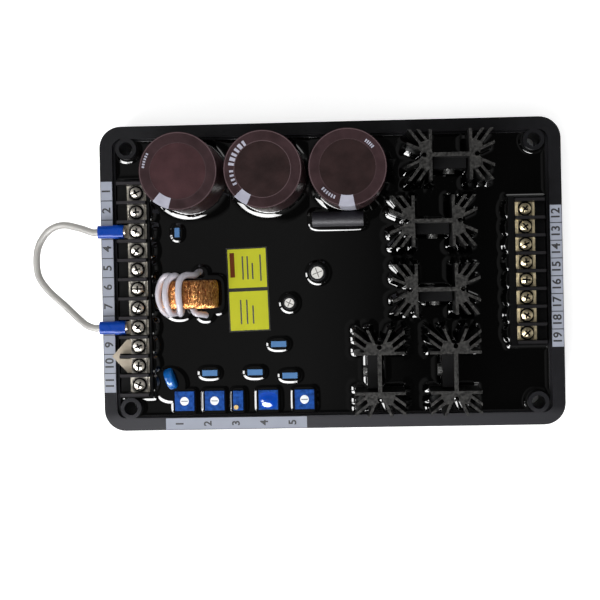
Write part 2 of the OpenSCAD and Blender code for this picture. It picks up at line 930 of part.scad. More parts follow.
// Primary turn in a radial plane: rounded loop of wire round the ring's section
module turn_loop(turn) {
  half_y = ring_t / 2 + turn_gap + turn_d / 2;
  in_r = ring_id / 2 - turn_gap - turn_d / 2;
  out_r = ring_od / 2 + turn_gap + turn_d / 2;
  bend_r = (out_r - in_r) * 0.42;
  translate([ring_x, ring_y, ring_z])
    rotate([0, turn, 0]) {
      for (s = [-1, 1])
        translate([in_r + bend_r, s * half_y, 0])
          rotate([0, 90, 0])
            cylinder(h = out_r - in_r - 2 * bend_r, d = turn_d, $fn = 24);
      for (r = [in_r, out_r])
        translate([r, half_y - bend_r, 0])
          rotate([90, 0, 0])
            cylinder(h = 2 * (half_y - bend_r), d = turn_d, $fn = 24);
      for (s = [0, 1], q = [0, 1])
        translate([q == 0 ? in_r + bend_r : out_r - bend_r, (2 * s - 1) * (half_y - bend_r), 0])
          rotate(s == 0 ? (q == 0 ? 180 : 270) : (q == 0 ? 90 : 0))
            rotate_extrude(angle = 90, $fn = 48)
              translate([bend_r, 0])
                circle(d = turn_d, $fn = 24);
    }
}

// Ends of the pass through the ring, from the ring's centre
pass_x = ring_id * 0.18;
pass_top = ring_t / 2 + turn_gap + turn_d * 1.15;
pass_low = -ring_t / 2 - turn_gap - turn_d;

// Ends of the primary that go down to the board
module turn_tails() {
  half_y = ring_t / 2 + turn_gap + turn_d / 2;
  for (p = [[pass_x, pass_top], [pass_x, pass_low], [-ring_od * 0.275, -half_y]])
    translate([ring_x + p[0], ring_y + p[1], top_z])
      cylinder(h = ring_z - top_z, d = turn_d, $fn = 24);
}

// Three turns of insulated wire and the pass through the ring
module primary_turns() {
  color([0.92, 0.92, 0.9]) {
    for (i = [0 : 2])
      turn_loop(180 + i * turn_step);
    turn_tails();
    translate([ring_x + pass_x, ring_y + pass_top, ring_z])
      rotate([90, 0, 0])
        cylinder(h = pass_top - pass_low, d = turn_d, $fn = 24);
    for (y = [pass_top, pass_low])
      translate([ring_x + pass_x, ring_y + y, ring_z])
        sphere(d = turn_d, $fn = 24);
  }
}

// Small can with a rolled top edge
module can_small(d, h) {
  translate([0, 0, top_z])
    cylinder(h = h - 0.4, d = d);
  translate([0, 0, top_z + h - 0.4])
    cylinder(h = 0.4, d1 = d, d2 = d - 0.8);
}

module small_capacitor_1() {
  color([0.12, 0.12, 0.14])
  translate(can_places[0])
    can_small(can1_d, can1_h);
}

module small_capacitor_2() {
  color([0.12, 0.12, 0.14])
  translate(can_places[1])
    can_small(can2_d, can2_h);
}

// Box film capacitor at one of the listed places
module film_solid(i, w, d) {
  color([0.43, 0.65, 0.84])
  translate([film_places[i][0] - w / 2, film_places[i][1] - d / 2, top_z])
    cube([w, d, film_h]);
}

module film_capacitor_1() {
  film_solid(0, film_l, film_t);
}

module film_capacitor_2() {
  film_solid(1, film_l, film_t);
}

module film_capacitor_3() {
  film_solid(2, film_l, film_t);
}

module film_capacitor_4() {
  film_solid(3, film_l, film_t);
}

module film_capacitor_5() {
  film_solid(4, film5_t, film5_l);
}

// Disc with rounded edges on two leads
module varistor_solid() {
  edge = varistor_t * 0.32;
  translate([varistor_place[0], varistor_place[1], top_z])
    rotate(varistor_turn) {
      translate([0, 0, varistor_lift])
        rotate([0, 90, 0])
          rotate_extrude($fn = 64)
            intersection() {
              rounded(varistor_d, varistor_t, edge);
              translate([0, -varistor_t])
                square([varistor_d, 2 * varistor_t]);
            }
      for (s = [-1, 1])
        translate([0, s * varistor_d * 0.236, 0])
          cylinder(h = varistor_lift, d = lead_d, $fn = 24);
    }
}

module varistor() {
  color([0.02, 0.36, 0.7])
    varistor_solid();
}

// Round resistor lying over the board on two leads
module resistor_solid() {
  translate([resistor_place[0], resistor_place[1], top_z]) {
    translate([-resistor_l / 2, 0, resistor_lift])
      rotate([0, 90, 0])
        cylinder(h = resistor_l, d = resistor_d);
    for (s = [-1, 1])
      translate([s * resistor_l * 0.44, 0, 0])
        cylinder(h = resistor_lift, d = lead_d, $fn = 24);
  }
}

module power_resistor() {
  color([0.1, 0.1, 0.11])
    resistor_solid();
}

// Square trimmer body with the rotor bore
module trim_solid(i) {
  color([0.16, 0.34, 0.7])
  translate([trim_x[i], trim_y, top_z])
    difference() {
      translate([-trim_w / 2, -trim_w / 2, 0])
        cube([trim_w, trim_w, trim_h]);
      translate([0, 0, trim_h - rotor_l - rotor_float])
        cylinder(h = rotor_l + 2, d = rotor_d + 2 * rotor_clear);
    }
}

// Rotor with a single slot
module rotor_solid(i) {
  rotor_top = rotor_l + rotor_proud;
  color([0.93, 0.93, 0.92])
  translate([trim_x[i], trim_y, top_z + trim_h - rotor_l])
    difference() {
      cylinder(h = rotor_top, d = rotor_d);
      translate([-rotor_d * 0.38, -slot_w / 2, rotor_top - slot_h])
        cube([rotor_d * 0.76, slot_w, slot_h + 1]);
    }
}

module trimmer_body_1() {
  trim_solid(0);
}

module trimmer_body_2() {
  trim_solid(1);
}

// Third trimmer is plain on top because it is sealed
module trimmer_body_3() {
  color([0.16, 0.34, 0.7])
  translate([trim_x[2] - trim_w / 2, trim_y - trim_w / 2, top_z])
    cube([trim_w, trim_w, trim_h]);
}

module trimmer_body_4() {
  trim_solid(3);
}

module trimmer_rotor_1() {
  rotor_solid(0);
}

module trimmer_rotor_2() {
  rotor_solid(1);
}

module trimmer_rotor_4() {
  rotor_solid(3);
}

module trimmer_seal_3() {
  color([0.1, 0.3, 0.72])
  translate([trim_x[2], trim_y, top_z + trim_h])
    cylinder(h = seal_t, d1 = trim_w * 0.9, d2 = trim_w * 0.8);
}

// Narrow many-turn trimmer with the screw bore
module voltage_trimmer_body() {
  color([0.16, 0.34, 0.7])
  difference() {
    translate([multi_x - multi_w / 2, trim_y - trim_w / 2, top_z])
      cube([multi_w, trim_w, multi_h]);
    translate([adjust_at[0], adjust_at[1], top_z + multi_h - rotor_l - rotor_float])
      cylinder(h = rotor_l + 2, d = adjust_d + 2 * rotor_clear);
  }
}

module voltage_trimmer_screw() {
  screw_top = rotor_l + adjust_proud;
  color([0.75, 0.6, 0.3])
  translate([adjust_at[0], adjust_at[1], top_z + multi_h - rotor_l])
    difference() {
      cylinder(h = screw_top, d = adjust_d);
      translate([-adjust_d, -0.2, screw_top - 0.5])
        cube([2 * adjust_d, 0.4, 1]);
    }
}

module left_marker_strip() {
  color([0.7, 0.71, 0.76])
  translate([-tray_w / 2 + strip_off, left_strip_y - left_strip_l / 2, tray_h])
    cube([strip_w, left_strip_l, strip_t]);
}

module right_marker_strip() {
  color([0.7, 0.71, 0.76])
  translate([tray_w / 2 - strip_off - strip_w, right_strip_y - right_strip_l / 2, tray_h])
    cube([strip_w, right_strip_l, strip_t]);
}

module trimmer_marker_strip() {
  color([0.7, 0.71, 0.76])
  translate([trim_strip_x - trim_strip_l / 2, -tray_d / 2 + strip_off, tray_h])
    cube([trim_strip_l, strip_w, strip_t]);
}

module compound_label() {
  color([0.75, 0.76, 0.24])
  translate([label_place[0], label_place[1], resin_z])
    rotate(label_turn)
      translate([-label_w / 2, -label_l / 2, 0])
        cube([label_w, label_l, label_t]);
}

// Flat link with two fork tongues and a pointed tail
module terminal_link() {
  mid_y = (left_pole_y(link_pole) + left_pole_y(link_pole + 1)) / 2;
  root_u = barrier_set - 0.5;
  tongue_u = screw_in + 2;
  out_v = left_pitch / 2 + link_tongue_w / 2;
  in_v = left_pitch / 2 - link_tongue_w / 2;
  slot_v = screw_d + 2 * fork_gap;
  color([0.66, 0.6, 0.54])
  translate([-left_face, mid_y, contact_z])
    linear_extrude(tongue_t)
      difference() {
        polygon([[root_u - link_tail, 0], [entry_l - 1, -out_v], [tongue_u, -out_v], [tongue_u, -in_v],
          [root_u, -in_v], [root_u, in_v], [tongue_u, in_v], [tongue_u, out_v], [entry_l - 1, out_v]]);
        for (s = [-1, 1])
          translate([screw_in, s * left_pitch / 2]) {
            circle(d = slot_v);
            translate([0, -slot_v / 2])
              square([tongue_u, slot_v]);
          }
      }
}

// Fork terminal from its barrel to the fork tips
module fork_solid() {
  slot_v = screw_d + 2 * fork_gap;
  fork_tip = -left_face + screw_in + 2;
  barrel_in = -sleeve_in + 1;
  translate([0, 0, contact_z])
    linear_extrude(tongue_t)
      difference() {
        translate([barrel_in - 1, -fork_w / 2])
          square([fork_tip - barrel_in + 1, fork_w]);
        translate([-left_face + screw_in, 0])
          circle(d = slot_v);
        translate([-left_face + screw_in, -slot_v / 2])
          square([screw_in, slot_v]);
      }
  translate([barrel_in - barrel_l, 0, sleeve_z])
    rotate([0, 90, 0])
      cylinder(h = barrel_l, r = barrel_r, $fn = 32);
  translate([barrel_in - 1, -1.2, contact_z])
    cube([1, 2.4, sleeve_z - contact_z]);
}

module jumper_fork_terminals() {
  color([0.72, 0.7, 0.66])
  for (p = fork_poles)
    translate([0, left_pole_y(p), 0])
      fork_solid();
}

// Flat-sided sleeve over the barrel, a little smaller over the wire
module sleeve_tube() {
  back = -sleeve_in - sleeve_l;
  difference() {
    union() {
      translate([back + sleeve_l * 0.6, 0, sleeve_z])
        rotate([90, 0, 90])
          linear_extrude(sleeve_l * 0.4)
            rounded(sleeve_w, sleeve_h, sleeve_h / 2 - 0.05);
      translate([back, 0, sleeve_z])
        rotate([90, 0, 90])
          linear_extrude(sleeve_l * 0.7)
            rounded(sleeve_w * 0.92, sleeve_h * 0.94, sleeve_h * 0.46);
    }
    translate([back - 1, 0, sleeve_z])
      rotate([0, 90, 0])
        cylinder(h = sleeve_l + 2, d = wire_d + 2 * wire_gap);
    translate([barrel_end, 0, sleeve_z])
      rotate([0, 90, 0])
        cylinder(h = barrel_l + 1, r = barrel_r, $fn = 32);
  }
}

module jumper_sleeves() {
  color([0.02, 0.18, 0.6])
  for (p = fork_poles)
    translate([0, left_pole_y(p), 0])
      sleeve_tube();
}

// Loop of wire as a list of rings: centre, side and up from the path
wire_top = left_pole_y(fork_poles[0]);
wire_low = left_pole_y(fork_poles[1]);
wire_from = barrel_end;
wire_back = -sleeve_in - sleeve_l;
wire_mid = (wire_top + wire_low) / 2;
wire_half = (wire_top - wire_low) / 2;
// Share of the reach, of the half width and of the sag at each guide point
wire_guides = [[-0.25, 1, 0], [0, 1, 0], [0.09, 1, 0.01], [0.3, 1.1, 0.2], [0.57, 1.17, 0.5], [0.8, 1.05, 0.75],
  [0.96, 0.74, 0.93], [1, 0.38, 1], [0.96, 0.06, 1], [0.8, -0.24, 0.92], [0.58, -0.51, 0.75],
  [0.36, -0.79, 0.5], [0.21, -0.94, 0.2], [0.08, -1, 0.01], [0, -1, 0], [-0.25, -1, 0]];
guides = [for (g = wire_guides)
  [g[0] < 0 ? wire_from : wire_back - g[0] * wire_reach, wire_mid + g[1] * wire_half, sleeve_z - g[2] * wire_sag]];
steps = 2;
function guide(i) = guides[max(0, min(len(guides) - 1, i))];
function blend(a, b, c, d, t) =
  0.5 * ((2 * b) + (c - a) * t + (2 * a - 5 * b + 4 * c - d) * t * t + (3 * b - a - 3 * c + d) * t * t * t);
path = [for (i = [0 : len(guides) - 2], j = [0 : steps - 1])
  blend(guide(i - 1), guide(i), guide(i + 1), guide(i + 2), j / steps), guides[len(guides) - 1]];
function unit(v) = v / norm(v);
function heading(i) = unit(path[min(i + 1, len(path) - 1)] - path[max(i - 1, 0)]);
function side(i) = unit(cross(heading(i), [0, 0, 1]));
function ring_points(i) =
  [for (k = [0 : wire_ring - 1]) path[i] + wire_d / 2 * (cos(360 * k / wire_ring) * side(i)
    + sin(360 * k / wire_ring) * cross(side(i), heading(i)))];

module jumper_wire() {
  rows = len(path);
  points = [for (i = [0 : rows - 1]) each ring_points(i)];
  walls = [for (i = [0 : rows - 2], k = [0 : wire_ring - 1])
    [i * wire_ring + k, i * wire_ring + (k + 1) % wire_ring,
     (i + 1) * wire_ring + (k + 1) % wire_ring, (i + 1) * wire_ring + k]];
  start = [for (k = [wire_ring - 1 : -1 : 0]) k];
  finish = [for (k = [0 : wire_ring - 1]) (rows - 1) * wire_ring + k];
  color([0.9, 0.9, 0.88])
    polyhedron(points, concat(walls, [start, finish]), convexity = 6);
}

tray();
circuit_board();
potting_compound();
input_terminal_housing();
input_terminal_contacts();
input_terminal_screws();
field_terminal_housing();
field_terminal_contacts();
field_terminal_screws();
reservoir_capacitor_1();
reservoir_capacitor_2();
reservoir_capacitor_3();
capacitor_sleeve_1();
capacitor_sleeve_2();
capacitor_sleeve_3();
capacitor_top_disc_1();
capacitor_top_disc_2();
capacitor_top_disc_3();
current_transformer_ring();
primary_turns();
small_capacitor_1();
small_capacitor_2();
film_capacitor_1();
film_capacitor_2();
film_capacitor_3();
film_capacitor_4();
film_capacitor_5();
varistor();
power_resistor();
trimmer_body_1();
trimmer_body_2();
trimmer_body_3();
trimmer_body_4();
trimmer_rotor_1();
trimmer_rotor_2();
trimmer_rotor_4();
trimmer_seal_3();
voltage_trimmer_body();
voltage_trimmer_screw();
heatsink_1();
heatsink_2();
heatsink_3();
heatsink_4();
heatsink_5();
power_device_1();
power_device_2();
power_device_3();
power_device_4();
power_device_5();
device_screws();
left_marker_strip();
right_marker_strip();
trimmer_marker_strip();
compound_label();
terminal_link();
jumper_wire();
jumper_fork_terminals();
jumper_sleeves();
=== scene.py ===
import math

import bpy
import numpy as np
from mathutils import Matrix, Vector


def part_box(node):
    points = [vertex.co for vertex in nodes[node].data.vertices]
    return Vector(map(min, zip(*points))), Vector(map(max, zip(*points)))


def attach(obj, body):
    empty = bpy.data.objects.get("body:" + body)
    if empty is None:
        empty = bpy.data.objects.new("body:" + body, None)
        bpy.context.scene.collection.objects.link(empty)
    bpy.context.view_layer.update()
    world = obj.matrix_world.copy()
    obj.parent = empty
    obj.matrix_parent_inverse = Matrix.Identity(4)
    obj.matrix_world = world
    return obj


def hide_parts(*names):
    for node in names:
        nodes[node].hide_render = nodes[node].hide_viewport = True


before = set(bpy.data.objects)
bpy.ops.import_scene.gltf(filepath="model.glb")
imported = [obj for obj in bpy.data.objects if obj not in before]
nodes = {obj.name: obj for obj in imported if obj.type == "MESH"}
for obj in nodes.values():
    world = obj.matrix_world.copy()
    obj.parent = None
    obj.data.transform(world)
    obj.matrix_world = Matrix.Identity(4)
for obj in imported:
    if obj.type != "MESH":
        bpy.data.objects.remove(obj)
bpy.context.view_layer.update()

MM = 0.001
BODY = "regulator"
WHITE = (1.0, 1.0, 1.0, 1.0)
INPUT_POLES = 11
FIELD_POLES = 8


# Colours are written as screen values from 0 to 255 and turned into linear light
def tint(red, green, blue):
    values = []
    for part in (red, green, blue):
        share = part / 255.0
        values.append(share / 12.92 if share <= 0.04045 else ((share + 0.055) / 1.055) ** 2.4)
    return (values[0], values[1], values[2], 1.0)


# Camera: nearly straight down, a small roll and a small shift for the framing
def make_camera():
    right = Vector((0.99911646, -0.0202688, -0.03681677))
    down = Vector((-0.02012092, -0.99978795, 0.00438295))
    ahead = Vector((-0.0368978, -0.00363829, -0.99931242))
    turn = Matrix((right, -down, -ahead)).transposed().to_4x4()
    data = bpy.data.cameras.new("camera")
    data.lens = 68.4
    data.sensor_width = 36.0
    data.shift_x = -0.0533
    data.shift_y = -0.0433
    data.clip_start = 0.01
    data.clip_end = 20.0
    camera = bpy.data.objects.new("camera", data)
    camera.matrix_world = Matrix.Translation((0.02113, 0.00234, 0.58288)) @ turn
    bpy.context.collection.objects.link(camera)
    bpy.context.scene.camera = camera
    bpy.context.scene.view_settings.view_transform = "Standard"


# Material helpers
def new_material(name):
    material = bpy.data.materials.new(name)
    material.use_nodes = True
    tree = material.node_tree
    return material, tree, tree.nodes["Principled BSDF"]


def add_node(tree, kind, **values):
    node = tree.nodes.new(kind)
    for key, value in values.items():
        setattr(node, key, value)
    return node


# Set a socket, or link it if the value is a socket too
def feed(tree, value, socket):
    if isinstance(value, bpy.types.NodeSocket):
        tree.links.new(value, socket)
    else:
        socket.default_value = value


# Separate coordinates, in the object's own frame unless another output is named
def axes(tree, output="Object"):
    place = add_node(tree, "ShaderNodeTexCoord")
    split = add_node(tree, "ShaderNodeSeparateXYZ")
    tree.links.new(place.outputs[output], split.inputs["Vector"])
    return split.outputs


def math_node(tree, operation, first, second=None):
    step = add_node(tree, "ShaderNodeMath", operation=operation)
    feed(tree, first, step.inputs[0])
    if second is not None:
        feed(tree, second, step.inputs[1])
    return step.outputs["Value"]


def plan_radius(tree, across, along):
    squares = [math_node(tree, "MULTIPLY", value, value) for value in (across, along)]
    return math_node(tree, "SQRT", math_node(tree, "ADD", squares[0], squares[1]))


def between(tree, value, low, high):
    above = math_node(tree, "GREATER_THAN", value, low)
    return math_node(tree, "MULTIPLY", above, math_node(tree, "LESS_THAN", value, high))


def noise(tree, scale, detail=3.0, stretch=(1.0, 1.0, 1.0)):
    place = add_node(tree, "ShaderNodeTexCoord")
    squeeze = add_node(tree, "ShaderNodeVectorMath", operation="MULTIPLY")
    squeeze.inputs[1].default_value = stretch
    cloud = add_node(tree, "ShaderNodeTexNoise")
    cloud.inputs["Scale"].default_value = scale
    cloud.inputs["Detail"].default_value = detail
    tree.links.new(place.outputs["Object"], squeeze.inputs[0])
    tree.links.new(squeeze.outputs["Vector"], cloud.inputs["Vector"])
    return cloud.outputs["Fac"]


def map_range(tree, source, from_low, from_high, to_low=0.0, to_high=1.0):
    scale = add_node(tree, "ShaderNodeMapRange")
    scale.inputs["From Min"].default_value = from_low
    scale.inputs["From Max"].default_value = from_high
    scale.inputs["To Min"].default_value = to_low
    scale.inputs["To Max"].default_value = to_high
    tree.links.new(source, scale.inputs["Value"])
    return scale.outputs["Result"]


# Noise spread from one value to another, since it seldom leaves the middle of its range
def remap(tree, source, low=0.0, high=1.0):
    return map_range(tree, source, 0.3, 0.7, low, high)


def mix_colour(tree, share, first, second):
    blend = add_node(tree, "ShaderNodeMix", data_type="RGBA")
    feed(tree, share, blend.inputs[0])
    feed(tree, first, blend.inputs[6])
    feed(tree, second, blend.inputs[7])
    return blend.outputs[2]


def set_bump(tree, skin, height, strength, distance=0.0002):
    dent = add_node(tree, "ShaderNodeBump")
    dent.inputs["Strength"].default_value = strength
    dent.inputs["Distance"].default_value = distance
    tree.links.new(height, dent.inputs["Height"])
    tree.links.new(dent.outputs["Normal"], skin.inputs["Normal"])


def shade(colour, factor):
    return (colour[0] * factor, colour[1] * factor, colour[2] * factor, 1.0)


# One on faces that look up, nought on all others
def facing_up(tree):
    place = add_node(tree, "ShaderNodeNewGeometry")
    split = add_node(tree, "ShaderNodeSeparateXYZ")
    tree.links.new(place.outputs["True Normal"], split.inputs["Vector"])
    return math_node(tree, "GREATER_THAN", split.outputs["Z"], 0.9)


# Plain surface with uneven tone, uneven gloss and a fine grain
def surface(name, colour, rough, metal=0.0, grain=1500.0, bump=0.1, vary=0.15, coat=0.0, top=None, ior=1.5):
    material, tree, skin = new_material(name)
    patch = remap(tree, noise(tree, grain * 0.12))
    fine = noise(tree, grain)
    tone = mix_colour(tree, patch, shade(colour, 1.0 - vary), shade(colour, 1.0 + vary))
    if top is not None:
        tone = mix_colour(tree, facing_up(tree), tone, top)
    tree.links.new(tone, skin.inputs["Base Color"])
    tree.links.new(remap(tree, fine, rough * 0.82, min(rough * 1.18, 1.0)), skin.inputs["Roughness"])
    skin.inputs["Metallic"].default_value = metal
    skin.inputs["Coat Weight"].default_value = coat
    skin.inputs["Coat Roughness"].default_value = 0.12
    skin.inputs["IOR"].default_value = ior
    set_bump(tree, skin, fine, bump)
    return material


# Lacquered copper with bright and dark strands
def wound_copper(name):
    material, tree, skin = new_material(name)
    speck = noise(tree, 1100.0, 2.0, (1.0, 0.45, 1.0))
    dark = mix_colour(tree, remap(tree, noise(tree, 240.0)), tint(98, 46, 20), tint(152, 84, 42))
    tone = mix_colour(tree, remap(tree, speck, -0.25, 1.08), dark, tint(242, 180, 112))
    tree.links.new(tone, skin.inputs["Base Color"])
    tree.links.new(remap(tree, speck, 0.42, 0.22), skin.inputs["Roughness"])
    skin.inputs["Metallic"].default_value = 0.8
    set_bump(tree, skin, speck, 1.0, 0.0005)
    return material


# Half width of the clamp plates in a row of terminal screws, and the pitch of the row
def screw_row(name, poles):
    low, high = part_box(name)
    half = (high[0] - low[0]) / 2
    return half, (high[1] - low[1] - 2 * half) / (poles - 1)


# Plated screws in a row: bright heads, and under them mottled clamp plates with painted shade round each
# head and painted highlights at the corners
def screw_metal(name, colour, plate_shade_share, poles):
    head_rise = 1.85 * MM
    shaded_radius, lit_corner_radius = 3.8 * MM, 5.0 * MM
    low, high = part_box(name)
    half, pitch = screw_row(name, poles)
    material, tree, skin = new_material(name)
    place = axes(tree)
    head = math_node(tree, "GREATER_THAN", place["Z"], high[2] - head_rise)
    across = math_node(tree, "SUBTRACT", place["X"], low[0] + half)
    row_start = low[1] + half - pitch / 2
    rows = math_node(tree, "DIVIDE", math_node(tree, "SUBTRACT", place["Y"], row_start), pitch)
    along = math_node(tree, "SUBTRACT", math_node(tree, "FRACT", rows), 0.5)
    along = math_node(tree, "MULTIPLY", along, pitch)
    # Painted highlight: the plate grows lighter towards its corners
    corner = map_range(tree, plan_radius(tree, across, along), shaded_radius, lit_corner_radius)
    patch = noise(tree, 420.0)
    fine = noise(tree, 1100.0)
    bright = mix_colour(tree, remap(tree, patch), shade(colour, 0.75), colour)
    # Painted shade: the plate near the head is darkened by the given share
    dark = mix_colour(tree, remap(tree, fine), shade(colour, plate_shade_share * 0.1), shade(colour, plate_shade_share))
    plate = mix_colour(tree, corner, dark, colour)
    tree.links.new(mix_colour(tree, head, plate, bright), skin.inputs["Base Color"])
    tree.links.new(remap(tree, patch, 0.24, 0.38), skin.inputs["Roughness"])
    skin.inputs["Metallic"].default_value = 0.85
    set_bump(tree, skin, fine, 0.5, 0.0003)
    return material


# Blend another tone, by a share, into those faces of a surface that look up: painted light on tops that
# catch the lamp
def paint_lit_tops(material, share, colour):
    tree = material.node_tree
    skin = tree.nodes["Principled BSDF"]
    tone = skin.inputs["Base Color"].links[0].from_socket
    tops = math_node(tree, "MULTIPLY", share, facing_up(tree))
    tree.links.new(mix_colour(tree, tops, tone, colour), skin.inputs["Base Color"])


# Black moulding whose front rim tops are painted a little paler, as painted light
def moulded_tray(name, colour, lit_top):
    material = surface(name, colour, 0.4, grain=2600.0, bump=0.35, vary=0.12, ior=1.35)
    tree = material.node_tree
    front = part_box("tray")[0][1]
    share = map_range(tree, axes(tree)["Y"], front + 9.0 * MM, front + 5.0 * MM)
    paint_lit_tops(material, share, lit_top)
    return material


# Terminal moulding with painted highlights on the barrier tops and dark cells
def strip_moulding(name, lit_top):
    material = surface(name, tint(9, 9, 10), 0.34, grain=2200.0, bump=0.2, vary=0.1, ior=1.38)
    tree = material.node_tree
    barrier_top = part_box(name)[1][2] - 0.5 * MM
    paint_lit_tops(material, math_node(tree, "GREATER_THAN", axes(tree)["Z"], barrier_top), lit_top)
    return material


# Black anodised extrusion with bare, streaky saw-cut ends that look up
def saw_cut(name):
    material, tree, skin = new_material(name)
    fine = noise(tree, 900.0)
    patch = noise(tree, 260.0)
    cut = mix_colour(tree, remap(tree, fine), tint(14, 14, 14), tint(62, 61, 59))
    cut = mix_colour(tree, remap(tree, patch, 0.0, 0.4), cut, tint(22, 22, 22))
    black = mix_colour(tree, remap(tree, patch), tint(12, 12, 12), tint(20, 20, 20))
    tree.links.new(mix_colour(tree, facing_up(tree), black, cut), skin.inputs["Base Color"])
    tree.links.new(remap(tree, fine, 0.32, 0.5), skin.inputs["Roughness"])
    skin.inputs["IOR"].default_value = 1.3
    set_bump(tree, skin, fine, 0.4)
    return material


# Sleeve film with a printed stripe that runs over the lip and down the side, and pale rings of painted
# highlight at the rim and the inner lip
def sleeve_material(name, centre, stripe_angle, stripe_half, print_arcs, edges):
    material, tree, skin = new_material(name)
    place = axes(tree)
    across = math_node(tree, "SUBTRACT", place["X"], centre[0])
    along = math_node(tree, "SUBTRACT", place["Y"], centre[1])
    angle = math_node(tree, "ARCTAN2", along, across)
    radius = plan_radius(tree, across, along)

    def near_angle(direction, half):
        away = math_node(tree, "ABSOLUTE", math_node(tree, "SUBTRACT", angle, math.radians(direction)))
        return math_node(tree, "LESS_THAN", away, math.radians(half))

    mask = near_angle(stripe_angle, stripe_half)
    for direction, half, inner, outer in print_arcs:
        band = between(tree, radius, inner * MM, outer * MM)
        arc = math_node(tree, "MULTIPLY", band, near_angle(direction, half))
        mask = math_node(tree, "MAXIMUM", mask, arc)
    patch = remap(tree, noise(tree, 160.0))
    brown = mix_colour(tree, patch, tint(44, 29, 31), tint(58, 40, 43))
    # Pale rings are painted highlights
    for inner, outer, strength in edges:
        line = math_node(tree, "MULTIPLY", between(tree, radius, inner, outer), strength)
        brown = mix_colour(tree, line, brown, tint(112, 92, 96))
    white = mix_colour(tree, patch, tint(158, 158, 172), tint(182, 182, 196))
    tree.links.new(mix_colour(tree, mask, brown, white), skin.inputs["Base Color"])
    tree.links.new(remap(tree, noise(tree, 700.0), 0.28, 0.4), skin.inputs["Roughness"])
    skin.inputs["IOR"].default_value = 1.33
    set_bump(tree, skin, noise(tree, 300.0), 0.12, 0.0003)
    return material


# Paint a node, and round its sharp edges if a width in millimetres is given
def paint(name, material, edge=None, segments=2):
    thing = nodes[name]
    for slot in thing.material_slots:
        slot.link = "OBJECT"
        slot.material = material
    if edge is None:
        return
    bevel = thing.modifiers.new("edges", "BEVEL")
    bevel.width = edge * MM
    bevel.segments = segments
    bevel.limit_method = "ANGLE"
    bevel.angle_limit = math.radians(40.0)
    bevel.harden_normals = True


# New piece from vertices in metres and faces
def piece(name, vertices, faces, material, smooth=True):
    mesh = bpy.data.meshes.new(name)
    mesh.from_pydata([tuple(v) for v in vertices], [], [tuple(f) for f in faces])
    mesh.polygons.foreach_set("use_smooth", [smooth] * len(mesh.polygons))
    mesh.materials.append(material)
    mesh.update()
    thing = bpy.data.objects.new(name, mesh)
    bpy.context.collection.objects.link(thing)
    return thing


# Smooth curve through guide points
def smooth_path(guides, steps):
    guides = [np.array(g, dtype=float) for g in guides]
    last = len(guides) - 1
    path = []
    for i in range(last):
        a, b, c, d = guides[max(i - 1, 0)], guides[i], guides[i + 1], guides[min(i + 2, last)]
        for j in range(steps):
            t = j / steps
            path.append(0.5 * (2 * b + (c - a) * t + (2 * a - 5 * b + 4 * c - d) * t ** 2
                               + (3 * b - a - 3 * c + d) * t ** 3))
    path.append(guides[last])
    return path


# Tube along a path, its frame carried along so that it doesn't twist
def tube_mesh(path, radius, sides):
    path = [np.array(p, dtype=float) for p in path]
    count = len(path)
    vertices = []
    faces = []
    side = None
    for i in range(count):
        ahead = path[min(i + 1, count - 1)] - path[max(i - 1, 0)]
        ahead = ahead / np.linalg.norm(ahead)
        if side is None:
            guess = np.array((0.0, 0.0, 1.0)) if abs(ahead[2]) < 0.9 else np.array((1.0, 0.0, 0.0))
            side = np.cross(ahead, guess)
        side = side - ahead * np.dot(side, ahead)
        side = side / np.linalg.norm(side)
        over = np.cross(ahead, side)
        for k in range(sides):
            angle = 2 * math.pi * k / sides
            vertices.append(path[i] + radius * (math.cos(angle) * side + math.sin(angle) * over))
    for i in range(count - 1):
        for k in range(sides):
            near = i * sides + k
            other = i * sides + (k + 1) % sides
            faces.append((near, other, other + sides, near + sides))
    faces.append(tuple(range(sides - 1, -1, -1)))
    faces.append(tuple((count - 1) * sides + k for k in range(sides)))
    return vertices, faces


def middle(name):
    low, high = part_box(name)
    return (Vector(low) + Vector(high)) / 2


# Outline of a node where a level plane cuts it, as pairs of plan points
def cut_outline(name, level):
    mesh = nodes[name].data
    mesh.calc_loop_triangles()
    places = np.empty(len(mesh.vertices) * 3)
    mesh.vertices.foreach_get("co", places)
    places = places.reshape(-1, 3)
    corners = np.empty(len(mesh.loop_triangles) * 3, dtype=np.int32)
    mesh.loop_triangles.foreach_get("vertices", corners)
    corners = corners.reshape(-1, 3)
    height = places[:, 2] - level
    above = height[corners] > 0
    crossing = corners[(above.any(axis=1)) & (~above.all(axis=1))]
    pairs = []
    for triangle in crossing:
        ends = []
        for i in range(3):
            a, b = triangle[i], triangle[(i + 1) % 3]
            if (height[a] > 0) != (height[b] > 0):
                share = height[a] / (height[a] - height[b])
                ends.append(places[a, :2] + share * (places[b, :2] - places[a, :2]))
        pairs.append(ends)
    return np.array(pairs)


